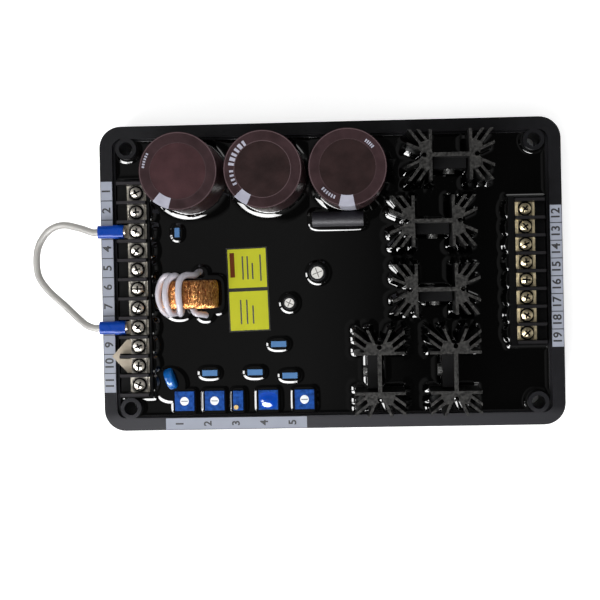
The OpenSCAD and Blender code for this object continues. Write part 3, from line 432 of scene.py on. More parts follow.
# Signed distance in plan from the outlines, negative inside them
def plan_distance(outlines, xs, ys, reach):
    away = np.full((len(ys), len(xs)), reach)
    inside = np.zeros(away.shape, dtype=bool)
    for pairs in outlines:
        for a, b in pairs:
            low = np.minimum(a, b) - reach
            high = np.maximum(a, b) + reach
            i0, i1 = np.searchsorted(xs, (low[0], high[0]))
            j0, j1 = np.searchsorted(ys, (low[1], high[1]))
            if i0 >= i1 or j0 >= j1:
                continue
            px = xs[None, i0:i1] - a[0]
            py = ys[j0:j1, None] - a[1]
            run = b - a
            share = np.clip((px * run[0] + py * run[1]) / max(run @ run, 1e-18), 0.0, 1.0)
            gap = np.hypot(px - share * run[0], py - share * run[1])
            away[j0:j1, i0:i1] = np.minimum(away[j0:j1, i0:i1], gap)
        first, second = pairs[:, 0], pairs[:, 1]
        for j, y in enumerate(ys):
            hit = (first[:, 1] > y) != (second[:, 1] > y)
            if not hit.any():
                continue
            f, s = first[hit], second[hit]
            cross = np.sort(f[:, 0] + (y - f[:, 1]) / (s[:, 1] - f[:, 1]) * (s[:, 0] - f[:, 0]))
            inside[j] |= np.searchsorted(cross, xs) % 2 == 1
    return np.where(inside, -away, away)


# Pairs of neighbouring points along a line of points
def line_pairs(points):
    return np.array([(a, b) for a, b in zip(points, points[1:])])


# Signed power, which makes a rounded rectangle out of a circle
def bulge(value, power):
    return math.copysign(abs(value) ** power, value)


# Rounded pool outline in plan, from a centre and half sizes in metres
def pool(centre, half_x, half_y, power=1.0, sides=48):
    ring = []
    for k in range(sides + 1):
        angle = 2 * math.pi * k / sides
        ring.append((centre[0] + half_x * bulge(math.cos(angle), power),
                     centre[1] + half_y * bulge(math.sin(angle), power)))
    return line_pairs(ring)


# Round swellings of the compound along the inner side of both terminal strips
def pole_scallops():
    end_walls = 3.8 * MM
    outlines = []
    strips = (("input_terminal_housing", INPUT_POLES, 1), ("field_terminal_housing", FIELD_POLES, 0))
    for strip, poles, inner in strips:
        low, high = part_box(strip)
        x = (low, high)[inner][0]
        pitch = (high[1] - low[1] - end_walls) / poles
        for i in range(poles):
            y = (low[1] + high[1]) / 2 + (i - (poles - 1) / 2) * pitch
            outlines.append(pool((x, y), 1.5 * MM, 3.4 * MM, sides=24))
    return outlines


# Pool that a small part stands in, drawn out to the front if asked
def pool_round(name, grow, power, front=0.0):
    low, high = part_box(name)
    centre = ((low[0] + high[0]) / 2, (low[1] + high[1] - front * MM) / 2)
    half_y = (high[1] - low[1] + front * MM) / 2
    return pool(centre, (high[0] - low[0]) / 2 + grow * MM, half_y + grow * MM, power)


# Plan outlines of the low mounds round the small parts, each group with its rise and width in millimetres
def compound_mounds(bosses):
    films = [pool_round("film_capacitor_%d" % i, 1.2, 0.75) for i in range(1, 6)]
    trimmers = [pool_round("trimmer_body_%d" % i, 0.9, 0.3, 0.7) for i in range(1, 5)]
    trimmers.append(pool_round("voltage_trimmer_body", 0.9, 0.4, 0.7))
    cans = [pool_round("small_capacitor_%d" % i, 0.9, 1.0) for i in (1, 2)]
    cans.append(pool_round("power_resistor", 1.0, 0.35))
    disc = middle("varistor")
    ring = middle("current_transformer_ring")
    spots = [pool((disc.x - 0.4 * MM, disc.y - 3.0 * MM), 7.6 * MM, 7.8 * MM)]
    for x, y, half_x, half_y, power in ((-6.5, -1.6, 8.6, 10.6, 0.9), (6.5, -9.0, 4.0, 4.2, 0.9),
                                        (8.6, -0.4, 7.6, 9.2, 0.45), (4.8, 10.2, 3.2, 2.8, 0.9)):
        spots.append(pool((ring.x + x * MM, ring.y + y * MM), half_x * MM, half_y * MM, power))
    collar = 5.6 * MM
    collars = [pool(centre, collar, collar) for centre in bosses]
    return ((films, 0.78, 1.2), (trimmers, 0.8, 1.2), (cans, 0.8, 1.2),
            (spots, 0.85, 1.3), (collars, 0.9, 1.3))


# Compound surface that creeps up every part it touches and stands in low mounds round the small parts
def make_compound(material):
    low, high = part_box("potting_compound")
    level = high[2]
    step = 0.53 * MM
    reach = 7 * MM
    before, beyond = 0.4 * MM, 0.8 * MM
    overlap = 0.8 * MM
    sink = 0.02 * MM
    xs = np.arange(low[0] - before, high[0] + beyond, step)
    ys = np.arange(low[1] - before, high[1] + beyond, step)
    sleeves = ["capacitor_sleeve_%d" % i for i in range(1, 4)]
    sinks = ["heatsink_%d" % i for i in range(1, 6)] + ["power_device_%d" % i for i in range(1, 6)]
    strips = ["input_terminal_housing", "field_terminal_housing"]
    groups = [(sleeves, 2.8, 2.2), (sinks, 2.2, 1.5), (strips, 1.6, 1.3), (["tray"], 0.8, 1.1)]
    height = np.zeros((len(ys), len(xs)))
    nearest = np.full(height.shape, 1.0)

    def creep(away, rise, width):
        return rise * MM * np.exp(-np.maximum(away, 0.0) / (width * MM))

    for names, rise, width in groups:
        outlines = [cut_outline(name, level + 0.05 * MM) for name in names]
        away = plan_distance([o for o in outlines if len(o)], xs, ys, reach)
        height = np.maximum(height, creep(away, rise, width))
        nearest = np.minimum(nearest, away)
    away = plan_distance(pole_scallops(), xs, ys, reach)
    height = np.maximum(height, creep(away, 2.2, 1.3))
    tray_low, tray_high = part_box("tray")
    in_x, in_y, boss_radius = 13.0 * MM, 11.0 * MM, 4.6 * MM
    bosses = []
    for x in (tray_low[0] + in_x, tray_high[0] - in_x):
        for y in (tray_low[1] + in_y, tray_high[1] - in_y):
            bosses.append((x, y))
    for outlines, rise, width in compound_mounds(bosses):
        away = plan_distance(outlines, xs, ys, reach)
        mound = rise * MM * np.exp(-(np.maximum(away, 0.0) / (width * MM)) ** 2)
        height = np.maximum(height, mound)
    height -= sink
    grid_x, grid_y = np.meshgrid(xs, ys)
    open_holes = np.zeros(height.shape, dtype=bool)
    for x, y in bosses:
        open_holes |= np.hypot(grid_x - x, grid_y - y) < boss_radius
    keep = (nearest > -overlap) & ~open_holes
    cell = keep[:-1, :-1] | keep[1:, :-1] | keep[:-1, 1:] | keep[1:, 1:]
    cell &= ~(open_holes[:-1, :-1] | open_holes[1:, 1:])
    used = np.zeros(height.shape, dtype=bool)
    used[:-1, :-1] |= cell
    used[1:, :-1] |= cell
    used[:-1, 1:] |= cell
    used[1:, 1:] |= cell
    number = -np.ones(height.shape, dtype=int)
    number[used] = np.arange(used.sum())
    vertices = np.stack([grid_x[used], grid_y[used], level + height[used]], axis=1)
    rows, columns = np.nonzero(cell)
    faces = np.stack([number[rows, columns], number[rows, columns + 1],
                      number[rows + 1, columns + 1], number[rows + 1, columns]], axis=1)
    compound = piece("compound_surface", vertices.tolist(), faces.tolist(), material)
    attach(compound, BODY)
    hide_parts("potting_compound")


# Fine winding on the ring: one wire carried round the section many times, over a core coloured as dark
# copper, painted shade between the turns
def make_winding(material, core_material):
    low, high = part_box("current_transformer_ring")
    centre = (np.array(low) + np.array(high)) / 2
    outer = (high[0] - low[0]) / 2
    inner = 7.2 * MM
    wire = 0.3 * MM
    turns = 132
    per_turn = 20
    power = 0.46
    wide = (outer - inner) / 2 - wire
    tall = (high[1] - low[1]) / 2 - wire
    mid = (outer + inner) / 2

    def at(around, place, sink):
        radial = mid + (wide - sink) * bulge(math.cos(place), power)
        along = (tall - sink) * bulge(math.sin(place), power)
        return (centre[0] + radial * math.cos(around), centre[1] + along,
                centre[2] + radial * math.sin(around))

    path = []
    for i in range(turns * per_turn + 1):
        t = i / per_turn
        sway = 0.21 * math.sin(7.3 * t) / turns
        path.append(at(2 * math.pi * (t / turns + sway), 2 * math.pi * t, 0.0))
    vertices, faces = tube_mesh(path, wire, 6)
    winding = piece("ring_winding", vertices, faces, material)
    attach(winding, BODY)
    rounds = 64
    section = 24
    vertices = []
    faces = []
    for i in range(rounds):
        for k in range(section):
            vertices.append(at(2 * math.pi * i / rounds, 2 * math.pi * k / section, wire))
    for i in range(rounds):
        near = i * section
        far = (i + 1) % rounds * section
        for k in range(section):
            after = (k + 1) % section
            faces.append((near + k, near + after, far + after, far + k))
    core = piece("ring_core", vertices, faces, core_material)
    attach(core, BODY)
    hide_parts("current_transformer_ring")


# Three turns of insulated wire through the ring, with both ends down in the compound
def make_turns(material):
    centre = middle("current_transformer_ring")
    low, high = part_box("current_transformer_ring")
    half = (high[1] - low[1]) / 2 / MM
    wire = 1.55
    out_r = (high[0] - low[0]) / 2 / MM + wire + 0.3
    in_r = 5.3

    def at(angle, radius, along):
        turn = math.radians(angle)
        return (centre.x / MM + radius * math.cos(turn), centre.y / MM + along,
                centre.z / MM + radius * math.sin(turn))

    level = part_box("potting_compound")[1][2] / MM
    side = half + wire + 0.4
    start = (centre.x / MM + 4.2, centre.y / MM + side + 2.2, level - 2)
    guides = [start, (start[0] - 0.6, start[1] - 0.4, level + 4), at(60, 6.2, side + 0.4)]
    for angle, inside in ((102, 130), (131, 168), (177, None)):
        guides += [at(angle - 8, 11.0, side + 0.3), at(angle, out_r - 1.4, side - 2.6),
                   at(angle, out_r + 0.1, 0.0), at(angle, out_r - 1.4, 2.6 - side)]
        if inside is not None:
            guides += [at(angle + 6, 10.6, -side - 0.2), at(inside - 4, in_r + 0.6, 2.4 - side),
                       at(inside, in_r, 0.0), at(inside + 5, in_r + 0.6, side - 2.4)]
    end = (centre.x / MM - 7.6, centre.y / MM - side - 0.4, level - 2)
    guides += [(end[0] - 4.2, end[1] - 0.2, centre.z / MM - 1.2), (end[0] - 0.6, end[1], level + 3.4), end]
    tail = [at(270, 1.5, 0.0), at(280, 2.0, 3.0 - side), at(330, 2.6, -side - 0.4)]
    tail += [(centre.x / MM + 4.4, centre.y / MM - side - 1.0, centre.z / MM - 3.0),
             (centre.x / MM + 6.4, centre.y / MM - side - 1.6, level + 1.0),
             (centre.x / MM + 6.8, centre.y / MM - side - 1.7, level - 2.0)]
    for name, points in (("primary_wire", guides), ("primary_wire_end", tail)):
        path = [tuple(c * MM for c in p) for p in smooth_path(points, 8)]
        vertices, faces = tube_mesh(path, wire * MM, 14)
        run = piece(name, vertices, faces, material)
        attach(run, BODY)
    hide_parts("primary_turns")


# Free jumper loop between its two sleeves, along the same route as the solid
def make_jumper(material):
    low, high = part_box("jumper_sleeves")
    reach = 33.5
    sag = 9.0
    wire = 3.4
    back = low[0] / MM
    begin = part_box("jumper_wire")[1][0] / MM
    sleeve = 6.8
    half = (high[1] - low[1] - sleeve * MM) / 2 / MM
    mid = (high[1] + low[1]) / 2 / MM
    level = (high[2] + low[2]) / 2 / MM
    shares = [(-0.25, 1, 0), (0, 1, 0), (0.09, 1, 0.01), (0.3, 1.1, 0.2), (0.57, 1.17, 0.5),
              (0.8, 1.05, 0.75), (0.96, 0.74, 0.93), (1, 0.38, 1), (0.96, 0.06, 1), (0.8, -0.24, 0.92),
              (0.58, -0.51, 0.75), (0.36, -0.79, 0.5), (0.21, -0.94, 0.2), (0.08, -1, 0.01), (0, -1, 0),
              (-0.25, -1, 0)]
    guides = []
    for out, width, drop in shares:
        x = begin if out < 0 else back - out * reach
        guides.append((x, mid + width * half, level - drop * sag))
    path = [tuple(c * MM for c in p) for p in smooth_path(guides, 8)]
    data = bpy.data.curves.new("jumper", "CURVE")
    data.dimensions = "3D"
    data.bevel_depth = wire / 2 * MM
    data.bevel_resolution = 5
    data.use_fill_caps = True
    line = data.splines.new("POLY")
    line.points.add(len(path) - 1)
    for point, place in zip(line.points, path):
        point.co = (place[0], place[1], place[2], 1.0)
    line.use_smooth = True
    data.materials.append(material)
    jumper = bpy.data.objects.new("jumper", data)
    bpy.context.collection.objects.link(jumper)
    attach(jumper, BODY)
    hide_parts("jumper_wire")


# Flat printed shape lying just over a surface
def flat_shape(name, outline, level, material, body=BODY):
    vertices = [(x * MM, y * MM, level) for x, y in outline]
    shape = piece(name, vertices, [tuple(range(len(vertices)))], material, smooth=False)
    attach(shape, body)
    return shape


# Corners of a rectangle in millimetres, turned about its centre by an angle in degrees
def rectangle(x, y, half_x, half_y, turn=0.0):
    u, v = math.cos(math.radians(turn)), math.sin(math.radians(turn))
    corners = ((-half_x, -half_y), (half_x, -half_y), (half_x, half_y), (-half_x, half_y))
    return [(x + a * u - b * v, y + a * v + b * u) for a, b in corners]


def bar(name, x0, y0, x1, y1, level, material):
    return flat_shape(name, [(x0, y0), (x1, y0), (x1, y1), (x0, y1)], level, material)


def words(name, text, x, y, level, size, turn, material):
    data = bpy.data.curves.new(name, "FONT")
    data.body = text
    data.size = size * MM
    data.offset = 0.14 * MM
    data.align_x = "CENTER"
    data.align_y = "CENTER"
    data.resolution_u = 4
    data.materials.append(material)
    thing = bpy.data.objects.new(name, data)
    thing.location = (x * MM, y * MM, level)
    thing.rotation_euler = (0.0, 0.0, math.radians(turn))
    bpy.context.collection.objects.link(thing)
    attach(thing, BODY)


# Numbers on the marker strips, with dividing lines on the two beside the terminals
def make_markers(ink):
    lift = 0.03 * MM
    side_size, front_size = 5.8, 5.2
    turn = 90
    line_half = 0.22
    strips = (("left_marker_strip", INPUT_POLES, 1), ("right_marker_strip", FIELD_POLES, INPUT_POLES + 1))
    for strip, poles, start in strips:
        low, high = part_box(strip)
        level = high[2] + lift
        x0, x1 = low[0] / MM, high[0] / MM
        x = (x0 + x1) / 2
        top = high[1] / MM
        pitch = (high[1] - low[1]) / MM / poles
        for i in range(poles):
            y = top - (i + 0.5) * pitch
            words("%s_number_%d" % (strip, i + 1), str(i + start), x, y, level, side_size, turn, ink)
            if i < poles - 1:
                line = y - pitch / 2
                divider = "%s_line_%d" % (strip, i + 1)
                bar(divider, x0, line - line_half, x1, line + line_half, level, ink)
    low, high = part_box("trimmer_marker_strip")
    level = high[2] + lift
    y = (low[1] + high[1]) / 2 / MM
    count = 5
    pitch = (high[0] - low[0]) / MM / count
    for i in range(count):
        x = low[0] / MM + (i + 0.5) * pitch
        words("trimmer_number_%d" % (i + 1), str(i + 1), x, y, level, front_size, turn, ink)


# Two yellow fields with plain bars on the label's backing
def make_label(yellow, red, ink):
    low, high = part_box("compound_label")
    level = high[2] + 0.02 * MM
    centre = ((low[0] + high[0]) / 2 / MM, (low[1] + high[1]) / 2 / MM)
    turn = math.radians(1.5)

    def field(name, x0, y0, x1, y1, rise, material):
        outline = []
        for x, y in ((x0, y0), (x1, y0), (x1, y1), (x0, y1)):
            outline.append((centre[0] + x * math.cos(turn) - y * math.sin(turn),
                            centre[1] + x * math.sin(turn) + y * math.cos(turn)))
        flat_shape(name, outline, level + rise * MM, material)

    field("label_upper", -9.5, 0.9, 9.5, 20.1, 0.0, yellow)
    field("label_lower", -9.5, -20.1, 9.5, -0.9, 0.0, yellow)
    field("label_red", -8.5, 6.2, -6.2, 18.4, 0.02, red)
    bars = [(-2.2, 5.0, 16.5), (0.2, 5.0, 16.5), (2.6, 5.0, 13.0), (6.6, 4.0, 17.0),
            (-4.0, -17.0, -5.0), (-1.0, -17.0, -5.0), (2.0, -17.0, -8.0)]
    bar_half = 0.35
    for i, (x, y0, y1) in enumerate(bars):
        field("label_bar_%d" % (i + 1), x - bar_half, y0, x + bar_half, y1, 0.02, ink)


# Flat ring of quads between two closed loops whose points take turns, from a first vertex on
def ring_faces(first, steps):
    faces = []
    for k in range(steps):
        a = first + 2 * k
        b = first + 2 * ((k + 1) % steps)
        faces.append((a, a + 1, b + 1, b))
    return faces


# Cross vents as flat darker strips, painted shade in their grooves, and dark sleeve lips on the small cans
def make_vents(ink, lip_material):
    steps = 40
    groove_half = 0.22
    groove_share, lip_shares = 0.62, (0.74, 0.97)
    groove_lift, lip_lift = 0.02 * MM, 0.03 * MM
    for name, turns in (("small_capacitor_1", (20, 110)), ("small_capacitor_2", (65, 155))):
        centre = middle(name)
        low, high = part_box(name)
        outer = (high[0] - low[0]) / 2
        half = outer / MM * groove_share
        for i, turn in enumerate(turns):
            # Painted shade: a flat darker strip for a vent groove
            groove = rectangle(centre.x / MM, centre.y / MM, half, groove_half, turn)
            flat_shape("%s_vent_%d" % (name, i + 1), groove, high[2] + groove_lift, ink)
        vertices = []
        for k in range(steps):
            turn = 2 * math.pi * k / steps
            for share in lip_shares:
                reach = outer * share
                vertices.append((centre.x + reach * math.cos(turn), centre.y + reach * math.sin(turn),
                                 high[2] + lip_lift))
        lip = piece(name + "_lip", vertices, ring_faces(0, steps), lip_material, smooth=False)
        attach(lip, BODY)


# Shaded floors of the rotor slots
def make_slots(material):
    slot_depth = 0.6 * MM
    half_width = 0.28
    length_share = 0.75
    for i in (1, 2, 4):
        name = "trimmer_rotor_%d" % i
        centre = middle(name)
        low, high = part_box(name)
        half = (high[0] - low[0]) / 2 / MM * length_share
        outline = rectangle(centre.x / MM, centre.y / MM, half, half_width)
        level = high[2] - slot_depth / 4
        flat_shape(name + "_slot", outline, level, material, "rotor_%d" % i)


# Flat dark sheets as painted shade: rings in the grooves round the terminal screw heads, and floors of
# their drive slots
def make_screw_shades(material):
    head, groove, lift = 1.9 * MM, 0.4 * MM, 0.8 * MM
    inner, outer = 2.72 * MM, 3.55 * MM
    shade_rise = 0.2 * MM
    drive_depth = 0.6 * MM
    steps = 48
    rows = (("input_terminal_screws", INPUT_POLES, (2, 7, 8, 9), 25, 67),
            ("field_terminal_screws", FIELD_POLES, range(FIELD_POLES), 50, 76))
    for name, poles, lifted, first_turn, turn_step in rows:
        low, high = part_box(name)
        half, pitch = screw_row(name, poles)
        x = (low[0] + high[0]) / 2
        vertices = []
        faces = []
        for i in range(poles):
            y = high[1] - half - i * pitch
            top = high[2] - (0.0 if i in lifted else lift)
            level = top - head - groove + shade_rise
            faces += ring_faces(len(vertices), steps)
            for k in range(steps):
                turn = 2 * math.pi * k / steps
                for reach in (inner, outer):
                    across = max(-half, min(half, reach * math.cos(turn)))
                    along = max(-half, min(half, reach * math.sin(turn)))
                    vertices.append((x + across, y + along, level))
            for half_long, half_wide, sink in ((1.9, 0.42, 0.0), (0.42, 1.55, 0.01 * MM)):
                first = len(vertices)
                faces.append((first, first + 1, first + 2, first + 3))
                for a, b in rectangle(x / MM, y / MM, half_long, half_wide, first_turn + i * turn_step):
                    vertices.append((a * MM, b * MM, top - drive_depth - sink))
        shades = piece(name + "_painted_shade", vertices, faces, material, smooth=False)
        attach(shades, BODY)


# Blob of lacquer over the sealed trimmer
def make_seal(material):
    centre = middle("trimmer_seal_3")
    low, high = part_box("trimmer_body_3")
    body_share = 0.94
    half = (high[0] - low[0]) / 2 * body_share
    base = high[2] - 0.02 * MM
    rise = 1.15 * MM
    spread_x, spread_y = 3.6 * MM, 2.5 * MM
    forward = 0.5 * MM
    power = 5.0
    rings = 14
    sides = 40

    def at(x, y, share):
        swell = math.exp(-(x / spread_x) ** 2 - ((y + forward) / spread_y) ** 2) * (1 - share ** 4)
        return (centre.x + x, centre.y + y, base + rise * swell)

    vertices = [at(0.0, 0.0, 0.0)]
    faces = []
    for i in range(1, rings + 1):
        share = i / rings
        for k in range(sides):
            turn = 2 * math.pi * k / sides
            square = (abs(math.cos(turn)) ** power + abs(math.sin(turn)) ** power) ** (-1 / power)
            reach = half * share * square * (1.0 + 0.02 * math.sin(3 * turn + 0.6))
            vertices.append(at(reach * math.cos(turn), reach * math.sin(turn), share))
    for k in range(sides):
        faces.append((0, 1 + k, 1 + (k + 1) % sides))
    for i in range(rings - 1):
        for k in range(sides):
            a = 1 + i * sides + k
            b = 1 + i * sides + (k + 1) % sides
            faces.append((a, a + sides, b + sides, b))
    blob = piece("seal_blob", vertices, faces, material)
    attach(blob, BODY)
    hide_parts("trimmer_seal_3")


# Area lamp that looks at the middle of the object
def lamp(name, place, size_x, size_y, power):
    target = Vector((0.0, 0.0, 0.02))
    data = bpy.data.lights.new(name, "AREA")
    data.shape = "RECTANGLE"
    data.size = size_x
    data.size_y = size_y
    data.energy = power
    thing = bpy.data.objects.new(name, data)
    thing.location = place
    thing.rotation_euler = (target - Vector(place)).to_track_quat("-Z", "Y").to_euler()
    bpy.context.collection.objects.link(thing)
    return thing


# Soft light from the lower left of the picture, with a gleam that leaves out the dull nodes
def make_lamps(dull_nodes):
    lamp("key", (-0.5, -1.1, 0.9), 0.9, 0.55, 17.0)
    top = lamp("top", (0.0, 0.0, 1.8), 1.6, 1.6, 17.0)
    top.visible_glossy = False
    gleam = lamp("gleam", (-0.55, -1.1, 0.8), 1.5, 0.95, 95.0)
    gleam.visible_diffuse = False
    spared = bpy.data.collections.new("spared by the gleam")
    for name in dull_nodes:
        spared.objects.link(nodes[name])
    for entry in spared.collection_objects:
        entry.light_linking.link_state = "EXCLUDE"
    gleam.light_linking.receiver_collection = spared
    west = lamp("west", (-1.25, -0.2, 0.8), 0.35, 0.7, 17.0)
    west.visible_diffuse = False
    lamp("back", (0.6, 1.3, 0.8), 1.2, 0.4, 4.0)
    corner = lamp("corner", (-0.06, -0.24, 0.16), 0.2, 0.1, 3.2)
    corner.visible_glossy = False
    corner.visible_camera = False
    lit = bpy.data.collections.new("lit by the corner")
    lit.objects.link(nodes["tray"])
    corner.light_linking.receiver_collection = lit


# Share of the rays that mirror or pass through something
def mirrored_rays(tree, rays):
    return math_node(tree, "MAXIMUM", rays["Is Glossy Ray"], rays["Is Transmission Ray"])


# White backdrop for the camera and for low mirrored rays, and a dim sky for everything else
def make_world():
    world = bpy.data.worlds.new("studio")
    world.use_nodes = True
    tree = world.node_tree
    tree.nodes.clear()
    rays = add_node(tree, "ShaderNodeLightPath").outputs
    place = axes(tree, "Generated")
    fade = map_range(tree, place["Z"], 0.1, 0.8, 0.4, 0.03)
    haze = map_range(tree, place["X"], 0.04, -0.06, 0.0, 0.16)
    overhead = math_node(tree, "MULTIPLY", haze, map_range(tree, place["Z"], 0.8, 0.97))
    sky = add_node(tree, "ShaderNodeBackground")
    feed(tree, math_node(tree, "ADD", fade, overhead), sky.inputs["Color"])
    plain = add_node(tree, "ShaderNodeBackground")
    feed(tree, WHITE, plain.inputs["Color"])
    low_down = map_range(tree, place["Z"], 0.12, 0.02)
    mirrored = math_node(tree, "MULTIPLY", mirrored_rays(tree, rays), low_down)
    blend = add_node(tree, "ShaderNodeMixShader")
    feed(tree, math_node(tree, "MAXIMUM", rays["Is Camera Ray"], mirrored), blend.inputs["Fac"])
    feed(tree, sky.outputs["Background"], blend.inputs[1])
    feed(tree, plain.outputs["Background"], blend.inputs[2])
    ending = add_node(tree, "ShaderNodeOutputWorld")
    feed(tree, blend.outputs["Shader"], ending.inputs["Surface"])
    bpy.context.scene.world = world


# Pale floor, lifted a little where it is seen or mirrored, but not under the object
def make_floor():
    size = 6.0
    level = -0.3 * MM
    lift = 0.45
    under_x, under_y = 0.11, 0.072
    paper = surface("paper", (0.95, 0.95, 0.95, 1.0), 0.9, vary=0.0, bump=0.0)
    tree = paper.node_tree
    skin = tree.nodes["Principled BSDF"]
    rays = add_node(tree, "ShaderNodeLightPath").outputs
    spot = add_node(tree, "ShaderNodeNewGeometry")
    split = add_node(tree, "ShaderNodeSeparateXYZ")
    feed(tree, spot.outputs["Position"], split.inputs["Vector"])
    beside = math_node(tree, "GREATER_THAN", math_node(tree, "ABSOLUTE", split.outputs["X"]), under_x)
    beyond = math_node(tree, "GREATER_THAN", math_node(tree, "ABSOLUTE", split.outputs["Y"]), under_y)
    clear = math_node(tree, "MAXIMUM", beside, beyond)
    seen = math_node(tree, "MAXIMUM", rays["Is Camera Ray"], mirrored_rays(tree, rays))
    glow = math_node(tree, "MULTIPLY", math_node(tree, "MULTIPLY", seen, lift), clear)
    feed(tree, WHITE, skin.inputs["Emission Color"])
    feed(tree, glow, skin.inputs["Emission Strength"])
    mesh = bpy.data.meshes.new("floor")
    corners = [(x * size, y * size, level) for x, y in ((-1, -1), (1, -1), (1, 1), (-1, 1))]
    mesh.from_pydata(corners, [], [(0, 1, 2, 3)])
    mesh.materials.append(paper)
    floor = bpy.data.objects.new("floor", mesh)
    bpy.context.collection.objects.link(floor)


make_camera()
white_wire = surface("white wire", tint(168, 166, 162), 0.42, grain=900.0, bump=0.08, vary=0.05, ior=1.35)
make_jumper(white_wire)

# Paler tone for the front rim tops is painted light
tray_black = moulded_tray("tray black", tint(14, 14, 16), tint(27, 27, 29))
resin = surface("resin", tint(3, 3, 3), 0.05, grain=120.0, bump=0.02, vary=0.2)
nickel = surface("nickel", tint(192, 186, 174), 0.32, metal=0.8, grain=3400.0, bump=0.5, vary=0.38)
gilt = surface("brass plate", tint(214, 199, 162), 0.36, metal=0.6, grain=3400.0, bump=0.5, vary=0.38)
board_green = surface("board", tint(30, 90, 50), 0.5)
can_metal = surface("can metal", tint(200, 200, 202), 0.3, metal=1.0)
disc_plain = surface("top disc brown", tint(62, 38, 41), 0.42, grain=1100.0, bump=0.25, vary=0.2, ior=1.3)
disc_dark = surface("top disc dark", tint(40, 26, 26), 0.42, grain=1100.0, bump=0.25, vary=0.32, ior=1.3)
copper = wound_copper("copper wire")
# Dark copper for the core under the winding is painted shade
copper_dark = surface("copper shade", tint(84, 44, 18), 0.5, metal=0.5, vary=0.2)
can_top = surface("small can", tint(30, 30, 34), 0.35, top=tint(216, 214, 210), vary=0.12)
film_blue = surface("film blue", tint(80, 124, 174), 0.42, grain=1800.0, bump=0.1, vary=0.06, ior=1.35)
varistor_blue = surface("varistor blue", tint(10, 97, 178), 0.22, grain=600.0, bump=0.1, vary=0.1)
coating = surface("resistor coating", tint(32, 31, 37), 0.5, grain=900.0, bump=0.15, vary=0.12, ior=1.3)
trim_blue = surface("trimmer blue", tint(32, 75, 150), 0.4, grain=4600.0, bump=0.3, vary=0.42, ior=1.16)
lacquer = surface("lacquer", tint(8, 72, 182), 0.1, grain=300.0, bump=0.05, vary=0.08, coat=0.5)
rotor_white = surface("rotor white", tint(240, 243, 246), 0.45, vary=0.04)
turned_brass = surface("turned brass", tint(230, 200, 140), 0.3, metal=0.5)
anodised = saw_cut("anodised black")
epoxy = surface("device epoxy", tint(12, 12, 12), 0.5, grain=2000.0, bump=0.2, vary=0.1,
                top=tint(16, 16, 17), ior=1.3)
zinc = surface("zinc", tint(190, 190, 188), 0.3, metal=1.0)
marker_grey = surface("marker film", tint(150, 155, 168), 0.5, grain=600.0, bump=0.03, vary=0.04, ior=1.3)
label_backing = surface("label backing", tint(26, 25, 22), 0.35, vary=0.1)
label_yellow = surface("label yellow", tint(188, 190, 40), 0.4, grain=700.0, bump=0.03, vary=0.05, ior=1.2)
label_red = surface("label red", tint(96, 42, 8), 0.4, vary=0.1, ior=1.2)
ink = surface("ink", tint(28, 28, 32), 0.5, vary=0.1)
can_lip = surface("can lip", tint(16, 16, 19), 0.3, vary=0.08)
# Grey for the painted shade in the vent grooves
vent = surface("vent groove shade", tint(110, 108, 104), 0.5, vary=0.1)
slot_shade = surface("slot shade", tint(140, 144, 152), 0.6, vary=0.1)
# Near black for the painted shade sheets round the screw heads and in their drive slots
shadow = surface("joint shadow", tint(6, 5, 5), 0.8, vary=0.1, ior=1.1)
turn_wire = surface("turn wire", tint(192, 189, 198), 0.4, grain=900.0, bump=0.06, vary=0.04, ior=1.3)
tinned = surface("tinned", tint(154, 144, 129), 0.38, metal=0.5, grain=900.0, bump=0.12, vary=0.12)
sleeve_blue = surface("sleeve blue", tint(0, 62, 160), 0.3, grain=420.0, bump=0.7, vary=0.16, ior=1.24)

paint("tray", tray_black, 0.6, 3)
paint("circuit_board", board_green)
# Painted highlight tone for the barrier tops of each strip
lit_barrier_tops = (("input_terminal_housing", tint(44, 42, 45)), ("field_terminal_housing", tint(30, 29, 31)))
for name, lit_tone in lit_barrier_tops:
    paint(name, strip_moulding(name, lit_tone), 0.2)
paint("input_terminal_contacts", nickel)
paint("field_terminal_contacts", gilt)
# Plate colour, the share of it kept in the painted shade round each head, and the pole count
plating = (("input_terminal_screws", tint(238, 232, 220), 0.34, INPUT_POLES),
           ("field_terminal_screws", tint(246, 230, 190), 0.55, FIELD_POLES))
for name, metal, plate_shade_share, poles in plating:
    paint(name, screw_metal(name, metal, plate_shade_share, poles), 0.12)

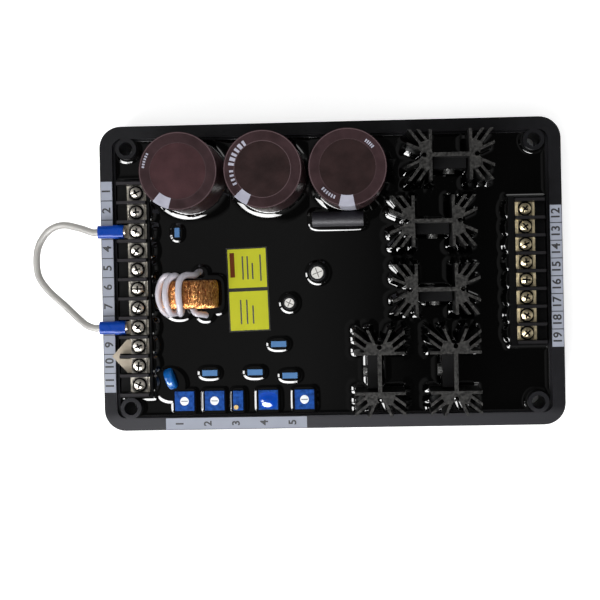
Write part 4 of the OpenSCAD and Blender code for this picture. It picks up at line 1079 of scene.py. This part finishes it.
# Stripe angle, half width, printed arcs and strength of the painted highlight ring on the inner lip of each
# sleeve
row_bars = [(125 + 9 * k, 2.4 + 0.9 * (k % 3 == 1), 13.3, 15.9) for k in range(6)]
row_bars += [(-177 + 8 * k, 1.9, 13.5, 15.4) for k in range(4)]
fine_bars = [(150 + 4.5 * k, 1.3, 15.6, 16.8) for k in range(6)]
fine_bars += [(10 + 5 * k, 1.2, 9.0, 9.2) for k in range(3)]
end_bars = [(38 + 4 * k, 1.2, 14.0, 15.6) for k in range(5)]
end_bars += [(-140 + 5 * k, 1.4, 14.2, 15.8) for k in range(6)]
prints = [(-118, 13, fine_bars, 0.12), (-126, 11, row_bars, 0.4), (-92, 12, end_bars, 0.12)]
for i, (stripe, half, arcs, ring_highlight) in enumerate(prints):
    number = i + 1
    sleeve = "capacitor_sleeve_%d" % number
    low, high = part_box(sleeve)
    outer = (high[0] - low[0]) / 2
    ring = outer * 0.715
    # Painted highlight rings at the outer rim and at the inner lip, with their strengths
    edges = [(outer - 0.55 * MM, outer - 0.25 * MM, 0.6), (ring, ring + 0.35 * MM, ring_highlight)]
    film = sleeve_material("sleeve film %d" % number, middle(sleeve), stripe, half, arcs, edges)
    paint(sleeve, film, 0.35, 3)
    paint("reservoir_capacitor_%d" % number, can_metal)
    paint("capacitor_top_disc_%d" % number, disc_plain if number == 1 else disc_dark)

for i in range(1, 6):
    paint("heatsink_%d" % i, anodised, 0.14)
    paint("power_device_%d" % i, epoxy, 0.25)
    paint("film_capacitor_%d" % i, film_blue, 0.25)
for i in range(1, 5):
    paint("trimmer_body_%d" % i, trim_blue, 0.25)
for i in (1, 2, 4):
    paint("trimmer_rotor_%d" % i, rotor_white, 0.08)
paint("trimmer_seal_3", lacquer)
paint("voltage_trimmer_body", trim_blue, 0.25)
paint("voltage_trimmer_screw", turned_brass)
paint("device_screws", zinc, 0.15)
for i in (1, 2):
    paint("small_capacitor_%d" % i, can_top)
paint("varistor", varistor_blue)
paint("power_resistor", coating, 0.8, 3)
for name in ("left_marker_strip", "right_marker_strip", "trimmer_marker_strip"):
    paint(name, marker_grey)
paint("compound_label", label_backing)
paint("terminal_link", tinned, 0.12)
paint("jumper_fork_terminals", tinned, 0.12)
paint("jumper_sleeves", sleeve_blue, 0.3, 3)

make_compound(resin)
make_winding(copper, copper_dark)
make_turns(turn_wire)
make_markers(ink)
make_label(label_yellow, label_red, ink)
make_vents(vent, can_lip)
make_seal(lacquer)
make_slots(slot_shade)
make_screw_shades(shadow)
dull_nodes = ["tray", "input_terminal_housing", "field_terminal_housing", "voltage_trimmer_body"]
dull_nodes += ["capacitor_%s_%d" % (kind, i) for kind in ("sleeve", "top_disc") for i in (1, 2, 3)]
dull_nodes += ["trimmer_body_%d" % i for i in range(1, 5)]
dull_nodes += ["%s_%d" % (kind, i) for kind in ("film_capacitor", "power_device") for i in range(1, 6)]
make_lamps(dull_nodes)
make_world()
make_floor()
